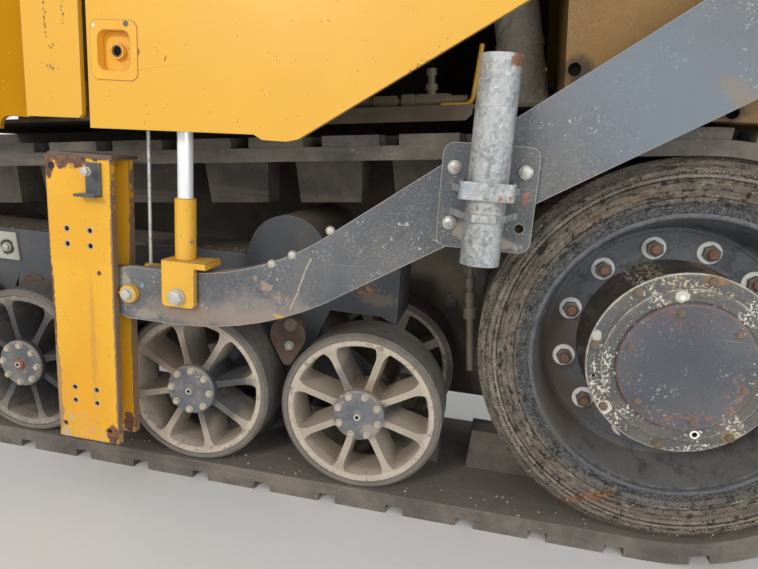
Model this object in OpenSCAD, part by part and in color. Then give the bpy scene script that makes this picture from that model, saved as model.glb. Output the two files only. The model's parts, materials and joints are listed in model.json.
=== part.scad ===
// Left rubber-track undercarriage of an asphalt paver, with the tow arm,
// its lifting cylinder and the body panels that hang beside it.
// X runs to the machine's rear, Y inboard, Z up. The part stands on its track.

/* [Belt] */
// Width of the rubber belt
belt_w = 457; // [400:1:520]
// Thickness of the belt's carcass
belt_t = 30; // [22:1:36]
// Height of the tread lugs
lug_h = 22; // [14:1:30]
// Number of lugs round the belt, with a notch between each two
lug_count = 44; // [36:1:50]
// Width of a notch at the belt's edge
notch_w = 42; // [30:1:60]
// Width of a notch at its blind end
notch_end_w = 24; // [16:1:40]
// Length of a notch across the belt
notch_l = 78; // [60:1:110]
// Width of a guide block at its foot
guide_w = 91; // [70:1:96]
// Height of the guide blocks above the belt
guide_h = 100; // [70:1:104]
// Length of a guide block along the belt
guide_l = 171; // [120:1:190]
// Number of guide blocks round the belt
guide_count = 30; // [26:1:33]

/* [Wheels] */
// Radius at which the belt wraps the drive wheel
drive_r = 408; // [390:1:425]
// Radius at which the belt wraps the front idler
idler_r = 300; // [280:1:320]
// Clearance of the guide blocks between the two halves of a wheel
guide_gap = 5; // [4:1:10]
// Distance of the wheels' outer face from the belt's edge
wheel_inset = 3; // [2:1:8]
// Radius of a bogie wheel over its rubber
bogie_r = 190; // [180:1:195]
// Width of a bogie wheel
bogie_w = 120; // [100:1:126]
// Thickness of the rubber on a bogie wheel
bogie_rubber = 15; // [10:1:20]
// Gap between the drive wheel and the first bogie wheel
drive_gap = 58; // [50:1:80]
// Gap between the two wheels of a bogie
pair_gap = 34; // [24:1:50]
// Gap between the two bogies
bogie_gap = 90; // [70:1:110]
// Gap between the last bogie wheel and the front idler
idler_gap = 60; // [50:1:80]
// Number of spokes in a bogie wheel
spoke_count = 8; // [6:1:10]
// Thickness of a spoke at its outer edge
spoke_t = 14; // [10:1:20]
// How much a spoke widens to each side at the rim
spoke_flare = 13; // [6:1:18]
// Radius of a bogie axle
axle_r = 25; // [20:1:28]

/* [Final drive] */
// Radius of the hub barrel
hub_r = 188; // [180:1:194]
// Radius of the raised step on the hub's face
hub_step_r = 158; // [150:1:170]
// Radius of the centre cover
cover_r = 131; // [110:1:135]
// Distance that the centre cover stands outside the belt's edge
cover_out = 34; // [18:1:40]
// Distance of the drive discs from the belt's edges
disc_inset = 136; // [120:1:140]
// Radius of the drive discs' bolted ring
disc_r = 258; // [250:1:265]
// Radius of the steel rim that carries the drive tyre
rim_r = 300; // [290:1:310]

/* [Track frame] */
// Height of the frame beam's underside
beam_z = 440; // [436:1:450]
// Depth of the frame beam
beam_h = 118; // [100:1:122]
// Thickness of the beam's side plates
beam_plate = 16; // [10:1:20]
// Distance of the beam's side plates from the belt's edges
beam_inset = 136; // [130:1:140]
// Height of the bogie pivots
pivot_z = 378; // [370:1:382]
// Radius of the bogie pivot shafts
pivot_r = 32; // [26:1:34]
// Radius of the main cross tube
tube_main_r = 100; // [90:1:105]
// Radius of the front cross tube
tube_front_r = 52; // [44:1:54]
// Gap between the belt and the side frame
frame_gap = 21; // [15:1:30]
// Thickness of the side frame
frame_t = 20; // [14:1:26]
// Height of the side frame's lower edge
frame_foot = 130; // [110:1:180]

/* [Tow post] */
// Width of the post along the machine
post_w = 152; // [140:1:160]
// Height of the post's foot
post_z = 137; // [120:1:160]
// Height of the post's top
post_top = 777; // [765:1:785]
// Thickness of the post's outer plate
post_plate_t = 16; // [12:1:18]
// Distance of the post's outer face from the belt's edge
post_out = 125; // [123:1:127]

/* [Tow arm] */
// Thickness of the arm plate
arm_t = 38; // [34:1:40]
// Height of the arm's front part
arm_z = 495; // [490:1:500]
// Depth of the arm's front part
arm_depth = 117; // [110:1:122]
// Depth of the arm at its highest bend
arm_depth_top = 196; // [180:1:205]
// Depth of the arm at its rear end
arm_depth_end = 160; // [140:1:180]
// Angle at which the arm rises over the drive wheel
rise = 33.6; // [32:0.1:35]
// Angle at which the arm falls behind the drive wheel
fall = 42; // [38:1:46]
// Radius of the arm's lower bend
bend_low_r = 614; // [580:1:650]
// Radius of the arm's upper bend
bend_top_r = 330; // [300:1:360]
// Length of the rising straight
rise_l = 936; // [900:1:960]
// Length of the falling straight
fall_l = 420; // [380:1:460]
// Distance from the drive axle to the arm's front pin
nose_x = 1158; // [1150:1:1165]
// Distance from the drive axle to the cylinder's pin
clevis_x = 1038; // [1030:1:1045]

/* [Tow cylinder] */
// Radius of the chrome rod
rod_r = 16; // [14:1:18]
// Radius of the cylinder's barrel
barrel_r = 32; // [28:1:34]
// Clearance of the clevis ears from the arm
ear_gap = 4; // [3:1:6]
// Thickness of a clevis ear
ear_t = 12; // [10:1:14]
// Width of the clevis ears
ear_w = 75; // [66:1:80]
// Travel of the cylinder above its place at rest
travel_up = 140; // [100:1:150]
// Travel of the cylinder below its place at rest
travel_down = 180; // [120:1:190]

/* [Mast tube] */
// Outer radius of the tube
mast_r = 35; // [32:1:36]
// Wall of the tube
mast_wall = 5; // [3:1:7]
// Height of the tube's foot
mast_z = 651; // [645:1:660]
// Length of the tube
mast_l = 350; // [330:1:380]
// Width of the tube's bracket plate
plate_w = 175; // [165:1:185]
// Height of the tube's bracket plate
plate_h = 193; // [185:1:200]
// Thickness of the tube's bracket plate
plate_t = 10; // [8:1:12]

/* [Body] */
// Height of the body's roof frame
body_top = 1340; // [1320:1:1380]
// Thickness of the doors and panels
panel_t = 12; // [8:1:12]
// Distance of the door's outer face from the belt's edge
door_out = 136; // [134:1:140]
// Height of the door's lower edge
door_z = 838; // [830:1:850]
// Gap between the belt's lugs and the deck above them
deck_gap = 48; // [40:1:60]
// Thickness of the deck
deck_t = 8; // [5:1:10]
// Distance from the drive axle to the body's front end
body_front = 1950; // [1900:1:2000]
// Distance from the drive axle to the door's front edge
door_front = 1217; // [1212:1:1222]
// Distance from the drive axle to the door's rear edge
door_rear = 380; // [360:1:420]
// Slope of the door's rear lower edge
door_slope = 32.6; // [30:0.1:35]
// Distance from the drive axle to the foot of that slope
door_corner = 779; // [770:1:800]
// Gap between the door and the narrow panel in front of it
strip_gap = 17; // [10:1:24]
// Width of the narrow panel
strip_w = 128; // [110:1:150]
// Setback of the front body panel behind the door's face
fender_back = 36; // [26:1:44]
// Width of the body's square tubes
rail = 50; // [40:1:54]

/* [Hidden] */
$fn = 64;

// Clearance between pieces that are fitted to each other
fit = 0.3;
// Running clearance of a pin in its bore
run = 0.08;
// Clearance of parts that slide past each other
slide_gap = 5;
// Small step and overlap where the belt's straight runs meet its wraps
seam = 0.3;

// Wheels in their order along the belt
bogie_pitch = 2 * bogie_r + pair_gap;
rear_bogie = drive_r + drive_gap + bogie_r + bogie_pitch / 2;
front_bogie = rear_bogie + bogie_pitch + 2 * bogie_r + bogie_gap;
wheelbase = front_bogie + bogie_pitch / 2 + bogie_r + idler_gap + idler_r;
half_w = (belt_w - guide_w) / 2 - guide_gap - wheel_inset;

// Belt and wheels: the ground run's inner face, the axles and the upper run's slope
ground_z = lug_h + belt_t;
drive_z = ground_z + drive_r;
idler_z = ground_z + idler_r;
lean = atan((drive_r - idler_r) / wheelbase);
upper = 2 * lean;
drive_arc = drive_r * (180 + upper) * PI / 180;
idler_arc = idler_r * (180 - upper) * PI / 180;
loop_len = 2 * wheelbase + drive_arc + idler_arc;
bogie_z = ground_z + bogie_r + fit;
mid_y = belt_w / 2;
bogie_xs = [for (p = [-rear_bogie, -front_bogie], s = [-1, 1]) p + s * bogie_pitch / 2];

// Track frame
beam_top = beam_z + beam_h;
beam_front = slide_gap + idler_r - wheelbase;
beam_tail = 50;
beam_rear = beam_tail + bogie_pitch / 2 - rear_bogie;
tube_ahead = 18;
tube_rise = 9;
main_x = -rear_bogie - tube_ahead;
main_z = beam_top + tube_rise;
front_tube_ahead = 150;
front_tube_x = -front_bogie - front_tube_ahead;
front_tube_z = beam_z + beam_h / 2;
frame_y = belt_w + frame_gap;
frame_out_y = frame_y + frame_t;

// Tow arm: the plate runs in the post's channel, five millimetres from its flanges
arm_y = -post_out + post_plate_t + slide_gap;
arm_in_y = arm_y + arm_t;
post_ahead = 26;
post_x = -nose_x - post_ahead;
post_in_y = arm_in_y + slide_gap;
post_back_y = post_in_y + post_plate_t;
lap_y = arm_y + arm_t / 2;
clevis_z = arm_z + 9;
bend_x = -nose_x + 107;
pin_r = 16;

// Body
door_y = -door_out;
door_in_y = door_y + panel_t;
rail_y = door_in_y + 16;
rail_in_y = rail_y + rail;
fender_y = door_y + fender_back;
fender_in_y = fender_y + 10;
deck_y = 20;
roof_gap = 22;
panel_top = body_top - roof_gap;
strip_rear = -door_front - strip_gap;
strip_x = strip_rear - strip_w;
pillar_x = strip_rear - 28;
pillar_w = 72;
tank_x = -309;
roof_rear = tank_x - 34;
tank_rear = 420;
tank_y = -30;
tank_lift = 8;
tank_z = drive_z + drive_r + belt_t + lug_h + tank_lift;

// The whole part is centred on its box: x over the arm and the belt, y over mast and frame
mast_y = door_y - 6 - mast_r;
shelf_nose = 8;
end_x = arm_at(3)[0] + 25;
front_x = -(wheelbase + idler_r + belt_t + lug_h);
shift = [-(front_x + end_x) / 2, -(mast_y - mast_r - shelf_nose + frame_out_y) / 2, 0];

// Height of the belt's upper run over its lugs at x
function upper_z(x) = drive_z + (drive_r + ground_z) / cos(upper) + x * tan(upper);
function deck_z(x) = upper_z(x) + deck_gap;

// Place along the belt's inner face: x, z and heading, from the idler's foot
function spot(s) =
    s < wheelbase ? [-wheelbase + s, ground_z, 0]
    : s < wheelbase + drive_arc ? let (a = (s - wheelbase) * 180 / (PI * drive_r) - 90)
        [drive_r * cos(a), drive_z + drive_r * sin(a), a + 90]
    : s < 2 * wheelbase + drive_arc ? let (u = s - wheelbase - drive_arc)
        [-drive_r * sin(upper) - u * cos(upper),
            drive_z + drive_r * cos(upper) - u * sin(upper), 180 + upper]
    : let (a = (s - 2 * wheelbase - drive_arc) * 180 / (PI * idler_r) + 90 + upper)
        [-wheelbase + idler_r * cos(a), idler_z + idler_r * sin(a), a + 90];

// Centre line of the tow arm: stations 0 to 3 are the ends of its two bends
function arm_at(i) =
    i == 0 ? [bend_x, arm_z]
    : i == 1 ? arm_at(0) + bend_low_r * [sin(rise), 1 - cos(rise)]
    : i == 2 ? arm_at(1) + rise_l * [cos(rise), sin(rise)]
    : arm_at(2) + bend_top_r * [sin(rise) + sin(fall), cos(fall) - cos(rise)]
        + fall_l * [cos(fall), -sin(fall)];

// Outline of the tow arm on one side of its centre line, side is 1 above and -1 below
function arm_edge(side) = concat(
    [for (a = [0 : 15 : 90]) [-nose_x, arm_z] + arm_depth / 2 * [-cos(a), side * sin(a)]],
    [for (a = [0 : rise / 8 : rise + 0.01])
        arm_at(0) + bend_low_r * [sin(a), 1 - cos(a)] + side * arm_depth / 2 * [-sin(a), cos(a)]],
    [for (k = [0 : 8]) let (a = rise - k * (rise + fall) / 8)
        arm_at(2) + bend_top_r * [sin(rise) - sin(a), cos(a) - cos(rise)]
            + side * arm_depth_top / 2 * [-sin(a), cos(a)]],
    [arm_at(3) + side * arm_depth_end / 2 / cos(fall) * [0, 1]]
);

// An outline in X and Z, drawn from y0 to y1
module xz(y0, y1) {
    translate([0, y1, 0]) rotate([90, 0, 0]) linear_extrude(y1 - y0) children();
}

// An outline in Y and Z, drawn from x0 to x1
module yz(x0, x1) {
    translate([x0, 0, 0]) rotate([90, 0, 90]) linear_extrude(x1 - x0) children();
}

// A turned form about a Y axis through x and z; its outline holds radius and y
module turned(x, z) {
    translate([x, 0, z]) rotate([-90, 0, 0]) rotate_extrude($fn = 96) children();
}

// A round bar along Y
module bar_y(x, z, r, y0, y1) {
    translate([x, y0, z]) rotate([-90, 0, 0]) cylinder(r = r, h = y1 - y0);
}

// A block between two corners
module block(a, b) {
    translate(a) cube(b - a);
}

// The outline of a link with round ends
module link_2d(a, ra, b, rb) {
    d = b - a;
    ang = atan2(d[1], d[0]);
    t = acos((ra - rb) / norm(d));
    translate(a) circle(ra);
    translate(b) circle(rb);
    polygon([
        a + ra * [cos(ang + t), sin(ang + t)], b + rb * [cos(ang + t), sin(ang + t)],
        b + rb * [cos(ang - t), sin(ang - t)], a + ra * [cos(ang - t), sin(ang - t)]
    ]);
}

// A rectangle with round corners between two corners
module round_rect(a, b, r) {
    translate(a + [r, 0]) square(b - a - [2 * r, 0]);
    translate(a + [0, r]) square(b - a - [0, 2 * r]);
    for (x = [a[0] + r, b[0] - r], z = [a[1] + r, b[1] - r])
        translate([x, z]) circle(r);
}

// What stands on one side of the belt's middle is repeated on the other
module both_sides() {
    children();
    translate([0, belt_w, 0]) mirror([0, 1, 0]) children();
}

// A layer of the belt round a wheel, from the ground side up to the upper run
module wrapped(x, z, r, t, y0, start, sweep) {
    translate([x, 0, z]) rotate([-90, 0, 0]) rotate([0, 0, start])
        rotate_extrude(angle = sweep, $fn = 180) translate([r, y0]) square([t, belt_w - 2 * y0]);
}

// A closed layer of the belt between two heights over its inner face: straight runs and wraps.
// The runs and the wraps differ by one seam, so that no two faces lie in one plane.
module layer(t0, t1, y0, run_in, wrap_in) {
    for (tilt = [180, -upper])
        translate([0, 0, drive_z]) rotate([0, tilt, 0])
            block([tilt < 0 ? -wheelbase - seam : -seam, y0 + run_in, drive_r + t0 + seam],
                [tilt < 0 ? seam : wheelbase + seam, belt_w - y0 - run_in, drive_r + t1 - run_in]);
    wrapped(0, drive_z, drive_r + t0, t1 - t0 - wrap_in, y0 + wrap_in, -90 - upper, 180 + upper);
    wrapped(-wheelbase, idler_z, idler_r + t0, t1 - t0 - wrap_in, y0 + wrap_in, 90, 180 - upper);
}

module on_belt(s) {
    p = spot(s);
    translate([p[0], 0, p[1]]) rotate([0, -p[2], 0]) children();
}

// Driven belt: carcass, notched tread outside and guide blocks inside
module belt() {
    notch_pitch = loop_len / lug_count;
    guide_pitch = loop_len / guide_count;
    notch_start = 0.83;
    guide_start = 0.05;
    tread_foot = 2;
    tread_inset = 2;
    guide_foot = 14;
    color("#5a5148") {
        layer(0, belt_t, 0, seam, 0);
        difference() {
            layer(belt_t - tread_foot, belt_t + lug_h, tread_inset, 0, seam);
            for (i = [0 : lug_count - 1])
                on_belt((i + notch_start) * notch_pitch) notch();
            for (i = [0 : lug_count - 1])
                on_belt(((i + notch_start + 0.5) * notch_pitch) % loop_len)
                    translate([0, belt_w, 0]) mirror([0, 1, 0]) notch();
        }
        for (i = [0 : guide_count - 1])
            on_belt((i + guide_start) * guide_pitch)
                intersection() {
                    yz(-guide_l / 2, guide_l / 2) translate([mid_y, 0]) polygon([
                        [-guide_w / 2, -guide_foot], [guide_w / 2, -guide_foot],
                        [guide_w / 2 - 9, guide_h], [-guide_w / 2 + 9, guide_h]
                    ]);
                    xz(0, belt_w) polygon([
                        [-guide_l / 2, -guide_foot], [guide_l / 2, -guide_foot],
                        [guide_l / 2 - 8, guide_h], [-guide_l / 2 + 8, guide_h]
                    ]);
                }
    }
}

// The space of one notch, open at the belt's edge and below
module notch() {
    spare = 20;
    translate([0, 0, -ground_z - spare]) linear_extrude(spare + lug_h + 5) polygon([
        [-notch_w / 2, -spare], [notch_w / 2, -spare], [notch_w / 2, notch_l / 3],
        [notch_end_w / 2, notch_l], [-notch_end_w / 2, notch_l], [-notch_w / 2, notch_l / 3]
    ]);
}

// Rubber treads of the two halves of the drive wheel, stepped on the outer face
module drive_tyres() {
    y0 = wheel_inset;
    y1 = wheel_inset + half_w;
    r = drive_r - fit;
    bead = 9;
    shoulder = 22;
    color("#6b6056") both_sides() turned(0, drive_z) polygon([
        [rim_r + fit, y0 + bead], [rim_r + 16, y0 + bead], [rim_r + 22, y0 + 2], [rim_r + 56, y0 + 2],
        [rim_r + 60, y0 + 5], [rim_r + 64, y0], [r - shoulder, y0], [r, y0 + shoulder],
        [r, y1], [rim_r + fit, y1]
    ]);
}

// Dished steel rims of the drive wheel
module drive_rims() {
    y0 = wheel_inset + 8;
    y1 = wheel_inset + half_w - 4;
    wall = 14;
    color("#3d4147") both_sides() turned(0, drive_z) polygon([
        [hub_r + fit, disc_inset], [disc_r, disc_inset], [disc_r + 6, disc_inset - 8],
        [rim_r - wall, y0 + 6], [rim_r - wall + 4, y0], [rim_r, y0], [rim_r, y1],
        [rim_r - wall, y1], [disc_r, disc_inset + 16], [hub_r + fit, disc_inset + 16]
    ]);
}

// Planetary hub between the two rims, with its flange and step
module final_drive() {
    step_y = cover_t - cover_out;
    flange_y = step_y + 10;
    inner_y = belt_w - disc_inset;
    color("#4c4a4b") turned(0, drive_z) polygon([
        [0, step_y], [hub_step_r - 4, step_y], [hub_step_r, step_y + 4], [hub_step_r, flange_y],
        [hub_r - 4, flange_y], [hub_r, flange_y + 4], [hub_r, inner_y], [0, inner_y]
    ]);
}

// Bare round cover in the middle of the hub
module drive_cover() {
    color("#4a4440") turned(0, drive_z) polygon([
        [0, -cover_out], [cover_r - 5, -cover_out], [cover_r, -cover_out + 4],
        [cover_r, cover_t - cover_out], [0, cover_t - cover_out]
    ]);
}
cover_t = 10;

// Fixed housing that carries the final drive on the side frame, bored for the motor
module drive_housing() {
    y0 = belt_w - disc_inset;
    shell_r = hub_r - 40;
    flange_r = hub_r + 10;
    flange_t = 18;
    color("#33373c") turned(0, drive_z) polygon([
        [motor_r, y0 + fit], [shell_r, y0 + fit], [shell_r, frame_y - flange_t - 12],
        [shell_r + 20, frame_y - flange_t], [flange_r, frame_y - flange_t], [flange_r, frame_y],
        [motor_r, frame_y]
    ]);
}
motor_r = 63.5;

// Rubber treads of the front idler
module idler_tyres() {
    y0 = wheel_inset;
    y1 = wheel_inset + half_w;
    r = idler_r - fit;
    bore = idler_r - idler_rubber + fit;
    shoulder = 14;
    color("#6b6056") both_sides() turned(-wheelbase, idler_z) polygon([
        [bore, y0], [r - shoulder, y0], [r, y0 + shoulder], [r, y1], [bore, y1]
    ]);
}

// Dished steel discs of the front idler
module idler_rims() {
    y0 = wheel_inset + 4;
    y1 = wheel_inset + half_w;
    r = idler_r - idler_rubber;
    wall = 14;
    boss_r = 72;
    boss_y = 40;
    disc_y = 96;
    disc_t = 18;
    color("#3d4147") both_sides() turned(-wheelbase, idler_z) polygon([
        [idler_axle_r + fit, boss_y], [boss_r, boss_y], [boss_r + 8, boss_y + 20], [boss_r + 38, disc_y],
        [r - 40, disc_y], [r - wall - 2, y0 + 10], [r - wall + 2, y0], [r, y0], [r, y1],
        [r - wall, y1], [r - 30, disc_y + disc_t], [boss_r + 18, disc_y + disc_t], [boss_r + 18, y1],
        [idler_axle_r + fit, y1]
    ]);
}
idler_axle_r = 30;
idler_rubber = 26;

// Idler axle in its block, on the end of the tensioning rod
module idler_axle() {
    block_y = 44;
    block_r = 2 * idler_axle_r + 2;
    rod_end = beam_front - 40;
    color("#55585c") {
        bar_y(-wheelbase, idler_z, idler_axle_r, block_y, belt_w - block_y);
        bar_y(-wheelbase, idler_z, block_r, mid_y - block_y, mid_y + block_y);
        translate([-wheelbase, mid_y, idler_z]) rotate([0, 90, 0])
            cylinder(r = tension_r, h = wheelbase + rod_end);
    }
}
tension_r = 26;

// Grease cylinder that pushes the idler forward
module tension_barrel() {
    barrel_l = 130;
    bore_l = 100;
    color("#3f4348") translate([beam_front - barrel_l, mid_y, idler_z]) rotate([0, 90, 0]) difference() {
        cylinder(r = tension_r + 18, h = barrel_l);
        translate([0, 0, -1]) cylinder(r = tension_r + fit, h = bore_l);
    }
}

// Rubber treads of the eight bogie wheels
module bogie_tyres() {
    r = bogie_r;
    y0 = wheel_inset;
    y1 = wheel_inset + bogie_w;
    shoulder = 7;
    color("#655c54") for (x = bogie_xs) both_sides() turned(x, bogie_z) polygon([
        [r - bogie_rubber, y0 + 1], [r - shoulder, y0], [r, y0 + shoulder], [r, y1], [r - bogie_rubber, y1]
    ]);
}

// Spoked cast centres of the bogie wheels; each wheel stands at its own turn
module bogie_wheels() {
    turns = [-15, 16, 5, 30];
    color("#8a7a68") for (i = [0 : len(bogie_xs) - 1]) both_sides() bogie_centre(bogie_xs[i], turns[i]);
}

module bogie_centre(x, turn) {
    y0 = wheel_inset + 3;
    y1 = wheel_inset + bogie_w - 3;
    r = bogie_r - bogie_rubber - fit;
    lip = 12;
    wall = 18;
    difference() {
        union() {
            turned(x, bogie_z) polygon([
                [r - lip - 3, y0 + 3], [r - lip, y0], [r, y0], [r, y1], [r - lip, y1],
                [r - wall, y1 - 20], [r - wall, y0 + 30]
            ]);
            turned(x, bogie_z) polygon([
                [0, cap_y], [cap_r, cap_y], [cap_r, cap_y + 12], [cap_r - 6, cap_y + 24],
                [cap_r - 12, y1], [0, y1]
            ]);
            for (k = [0 : spoke_count - 1])
                translate([x, 0, bogie_z]) rotate([0, k * 360 / spoke_count + turn, 0])
                    spoke(cap_r - 14, r - lip - 1, y0 + 1, y1 - 24);
        }
        bar_y(x, bogie_z, axle_r + fit, 20, y1 + 1);
    }
}
cap_r = 60;
cap_y = -4;

// One spoke along X: a deep web, thin at its outer edge, flared into the hub and the rim
module spoke(r0, r1, y0, y1) {
    mid = (r0 + r1) / 2;
    reach = (r1 - r0) / 2;
    half = spoke_t / 2;
    draft = 5;
    function flare(t) = half + (t > 0 ? spoke_flare : spoke_flare - 3) * pow(abs(t), 5);
    steps = [-1, -0.8, -0.55, 0.55, 0.76, 0.9, 1];
    xz(y0, y1) polygon(concat(
        [for (t = steps) [mid + t * reach, -flare(t)]],
        [for (i = [len(steps) - 1 : -1 : 0]) [mid + steps[i] * reach, flare(steps[i])]]
    ));
    yz(r0, r1) polygon([[y0, -half], [y1, -half - draft], [y1, half + draft], [y0, half]]);
}

// Bolted hub caps of the bogie wheels with their filler plugs
module bogie_caps() {
    color("#4b5057") for (x = bogie_xs) both_sides() turned(x, bogie_z) polygon([
        [0, cap_y - 15], [9, cap_y - 15], [13, cap_y - 12], [14, cap_y - 7], [cap_r - 4, cap_y - 7],
        [cap_r, cap_y - 4], [cap_r, cap_y], [0, cap_y]
    ]);
}

module bogie_axles() {
    color("#5a5d61") for (x = bogie_xs) bar_y(x, bogie_z, axle_r, 21, belt_w - 21);
}

// Rocking arms, each between its two axles and its pivot
module bogie_arms() {
    y0 = beam_inset + beam_plate + slide_gap;
    end_r = 46;
    eye_r = 52;
    color("#3a3b3d") for (p = [-rear_bogie, -front_bogie]) difference() {
        xz(y0, belt_w - y0) {
            for (s = [-1, 1])
                link_2d([p + s * bogie_pitch / 2, bogie_z], end_r, [p, pivot_z], eye_r);
            polygon([[p, pivot_z], for (s = [-1, 1]) [p + s * bogie_pitch / 2, bogie_z - end_r]]);
        }
        for (s = [-1, 1]) bar_y(p + s * bogie_pitch / 2, bogie_z, axle_r + fit, 0, belt_w);
        bar_y(p, pivot_z, pivot_r + fit, 0, belt_w);
    }
}

// Pivot shafts of the bogies with their drop-shaped keeper plates
module bogie_pivots() {
    keeper_y = beam_inset - 42;
    keeper_t = 10;
    keeper_l = 2 * pivot_r - 2;
    color("#4a4038") for (p = [-rear_bogie, -front_bogie]) {
        bar_y(p, pivot_z, pivot_r, keeper_y, belt_w - keeper_y);
        both_sides() xz(keeper_y - keeper_t, keeper_y)
            link_2d([p, pivot_z], pivot_r + 13, [p, pivot_z - keeper_l], 14);
    }
}

// Box beam with the lugs that hold the bogie pivots and the nose that holds the tensioner
module track_frame() {
    lug_y = [beam_inset, belt_w - beam_inset - beam_plate];
    color("#2e3033") difference() {
        union() {
            xz(beam_inset, belt_w - beam_inset) polygon([
                [beam_rear - 40, beam_z], [beam_rear, beam_z - 20], [beam_rear, beam_top],
                [beam_front + 60, beam_top], [beam_front, beam_top - 60], [beam_front, beam_z]
            ]);
            for (y = lug_y, p = [-rear_bogie, -front_bogie])
                xz(y, y + beam_plate) link_2d([p, pivot_z], 58, [p, beam_z + 20], 90);
            for (y = lug_y) bar_y(stop_x + 20, stop_z + 12, stop_r + 28, y, y + beam_plate);
            block([beam_front, mid_y - 50, idler_z - 50], [beam_front + 110, mid_y + 50, beam_z + 5]);
        }
        for (p = [-rear_bogie, -front_bogie]) bar_y(p, pivot_z, pivot_r + fit, 0, belt_w);
        bar_y(main_x, main_z, tube_main_r + fit, 0, belt_w);
        bar_y(front_tube_x, front_tube_z, tube_front_r + fit, 0, belt_w);
    }
}

// Round stop in front of each front bogie arm
stop_x = -front_bogie + 134;
stop_z = 399;
stop_r = 42;
module stop_discs() {
    stop_t = 8;
    color("#6a4536") both_sides() difference() {
        bar_y(stop_x, stop_z, stop_r, beam_inset - stop_t, beam_inset);
        bar_y(stop_x, stop_z, 17, beam_inset - stop_t - 1, beam_inset - stop_t + 4);
    }
}

// Bolted plate on the beam's outer side, ahead of the post
module adapter_plate() {
    x1 = stop_x - 38;
    plate_l = 110;
    plate_z0 = beam_z + 34;
    color("#b9bcae") xz(beam_inset - 6, beam_inset) polygon([
        [x1 - plate_l, plate_z0], [x1 + 2, plate_z0], [x1 - 6, beam_top - 8], [x1 - plate_l, beam_top - 8]
    ]);
}

// Scraper bar in front of the drive wheel, with the grease line that hangs from it
module scraper() {
    x = -drive_r - 36;
    z = drive_z + 115;
    bar_r = 12;
    line_r = 9;
    line_y = beam_inset + 14;
    line_l = 246;
    line_tilt = 6;
    collar_r = line_r + 4;
    color("#7c7468") {
        bar_y(x, z, bar_r, line_y, frame_y);
        translate([x, line_y, z]) rotate([0, 180 - line_tilt, 0]) rotate_extrude($fn = 32) polygon([
            [0, -20], [line_r, -20], [line_r, 18], [collar_r, 18], [collar_r, 40], [line_r, 40],
            [line_r, 52], [collar_r, 52], [collar_r, 74], [line_r + 2, 74], [line_r + 2, 92],
            [collar_r + 3, 92], [collar_r + 3, 116], [line_r, 116], [line_r, line_l], [0, line_l]
        ]);
    }
}

// Tubes that join the track frame to the side frame
module cross_tubes() {
    color("#33373d") {
        bar_y(main_x, main_z, tube_main_r, beam_inset - 22, frame_y);
        bar_y(front_tube_x, front_tube_z, tube_front_r, beam_inset - 12, frame_y);
    }
}

// Side frame: the plate by which the whole undercarriage is bolted to the machine
module side_frame() {
    x0 = -body_front - 2 * rail;
    x1 = rim_r + 30;
    toe = 2.5 * rail;
    head_z = tank_z + 260;
    color("#2f3236") difference() {
        xz(frame_y, frame_out_y) polygon([
            [x0, frame_foot + toe], [x0 + toe, frame_foot], [x1 - toe, frame_foot],
            [x1, frame_foot + toe], [x1, head_z], [tank_x, head_z],
            [tank_x, deck_z(tank_x)], [x0, deck_z(x0)]
        ]);
        bar_y(0, drive_z, motor_r, 0, frame_out_y + 1);
        for (x = [-motor_bolt, motor_bolt], z = [-motor_bolt, motor_bolt])
            bar_y(x, drive_z + z, motor_bolt_r, 0, frame_out_y + 1);
        for (x = bolt_xs, z = bolt_zs)
            bar_y(x, z, frame_bolt_r, 0, frame_out_y + 1);
    }
}
motor_bolt = 57.3;
motor_bolt_r = 8.5;
frame_bolt_r = 13;
bolt_xs = [-1700, -500];
bolt_zs = [410, 690];

// Outer plate of the tow post
module post_plate() {
    x0 = post_x - post_w;
    hole_r = 5.5;
    // each hole: across from the post's front edge, height above its foot
    pairs = [for (x = [44, 99], z = [489, 456, 126, 94]) [x, z]];
    color("#e8ac33") difference() {
        block([x0, -post_out, post_z], [post_x, -post_out + post_plate_t, post_top]);
        for (h = concat(pairs, [[15, 33], [128, 30]]))
            bar_y(x0 + h[0], post_z + h[1], hole_r, -post_out - 1, 0);
    }
}

// Web and inner flange of the tow post
module post_channel() {
    x0 = post_x - post_w;
    color("#d99f2e") {
        block([x0, -post_out + post_plate_t, post_z], [x0 + 16, post_in_y, post_top]);
        block([x0, post_in_y, post_z], [post_x, post_back_y, post_top]);
    }
}

// Beam that carries the post on the track frame
module post_beam() {
    color("#2e3033")
        block([post_x - post_w + 14, post_back_y, beam_z + 6], [post_x - 18, beam_inset, beam_top - 6]);
}

// Short angle bolted to the post's face under its top
module post_angle() {
    face_y = -post_out;
    x1 = post_x - 20;
    z0 = post_top - 72;
    leg_t = 6;
    color("#5c5f63") {
        block([x1 - 34, face_y - leg_t, z0], [x1, face_y, z0 + 64]);
        block([x1 - 48, face_y - 26, z0 - leg_t], [x1, face_y, z0]);
    }
}

// Plate that closes the post's channel at the top
module post_cap() {
    color("#6b4c42")
        block([post_x - post_w + 6, -post_out + 2, post_top], [post_x + 2, post_back_y + 14, post_top + 8]);
}

// Tow arm: one thick plate bent over the drive wheel, halved at its nose
module tow_arm() {
    color("#4d545e") difference() {
        xz(arm_y, arm_in_y) {
            polygon(concat(arm_edge(1), [for (i = [len(arm_edge(-1)) - 1 : -1 : 1]) arm_edge(-1)[i]]));
        }
        bar_y(-nose_x, arm_z, arm_depth / 2 + slide_gap, lap_y - 1, arm_in_y + 1);
        bar_y(-nose_x, arm_z, pin_r + run, arm_y - 1, arm_in_y);
        bar_y(-clevis_x, clevis_z, pin_r + run, arm_y - 1, arm_in_y + 1);
        for (p = mast_bolts) bar_y(p[0], p[1], mast_bolt_r, arm_y - 1, arm_in_y + 1);
    }
}

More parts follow.
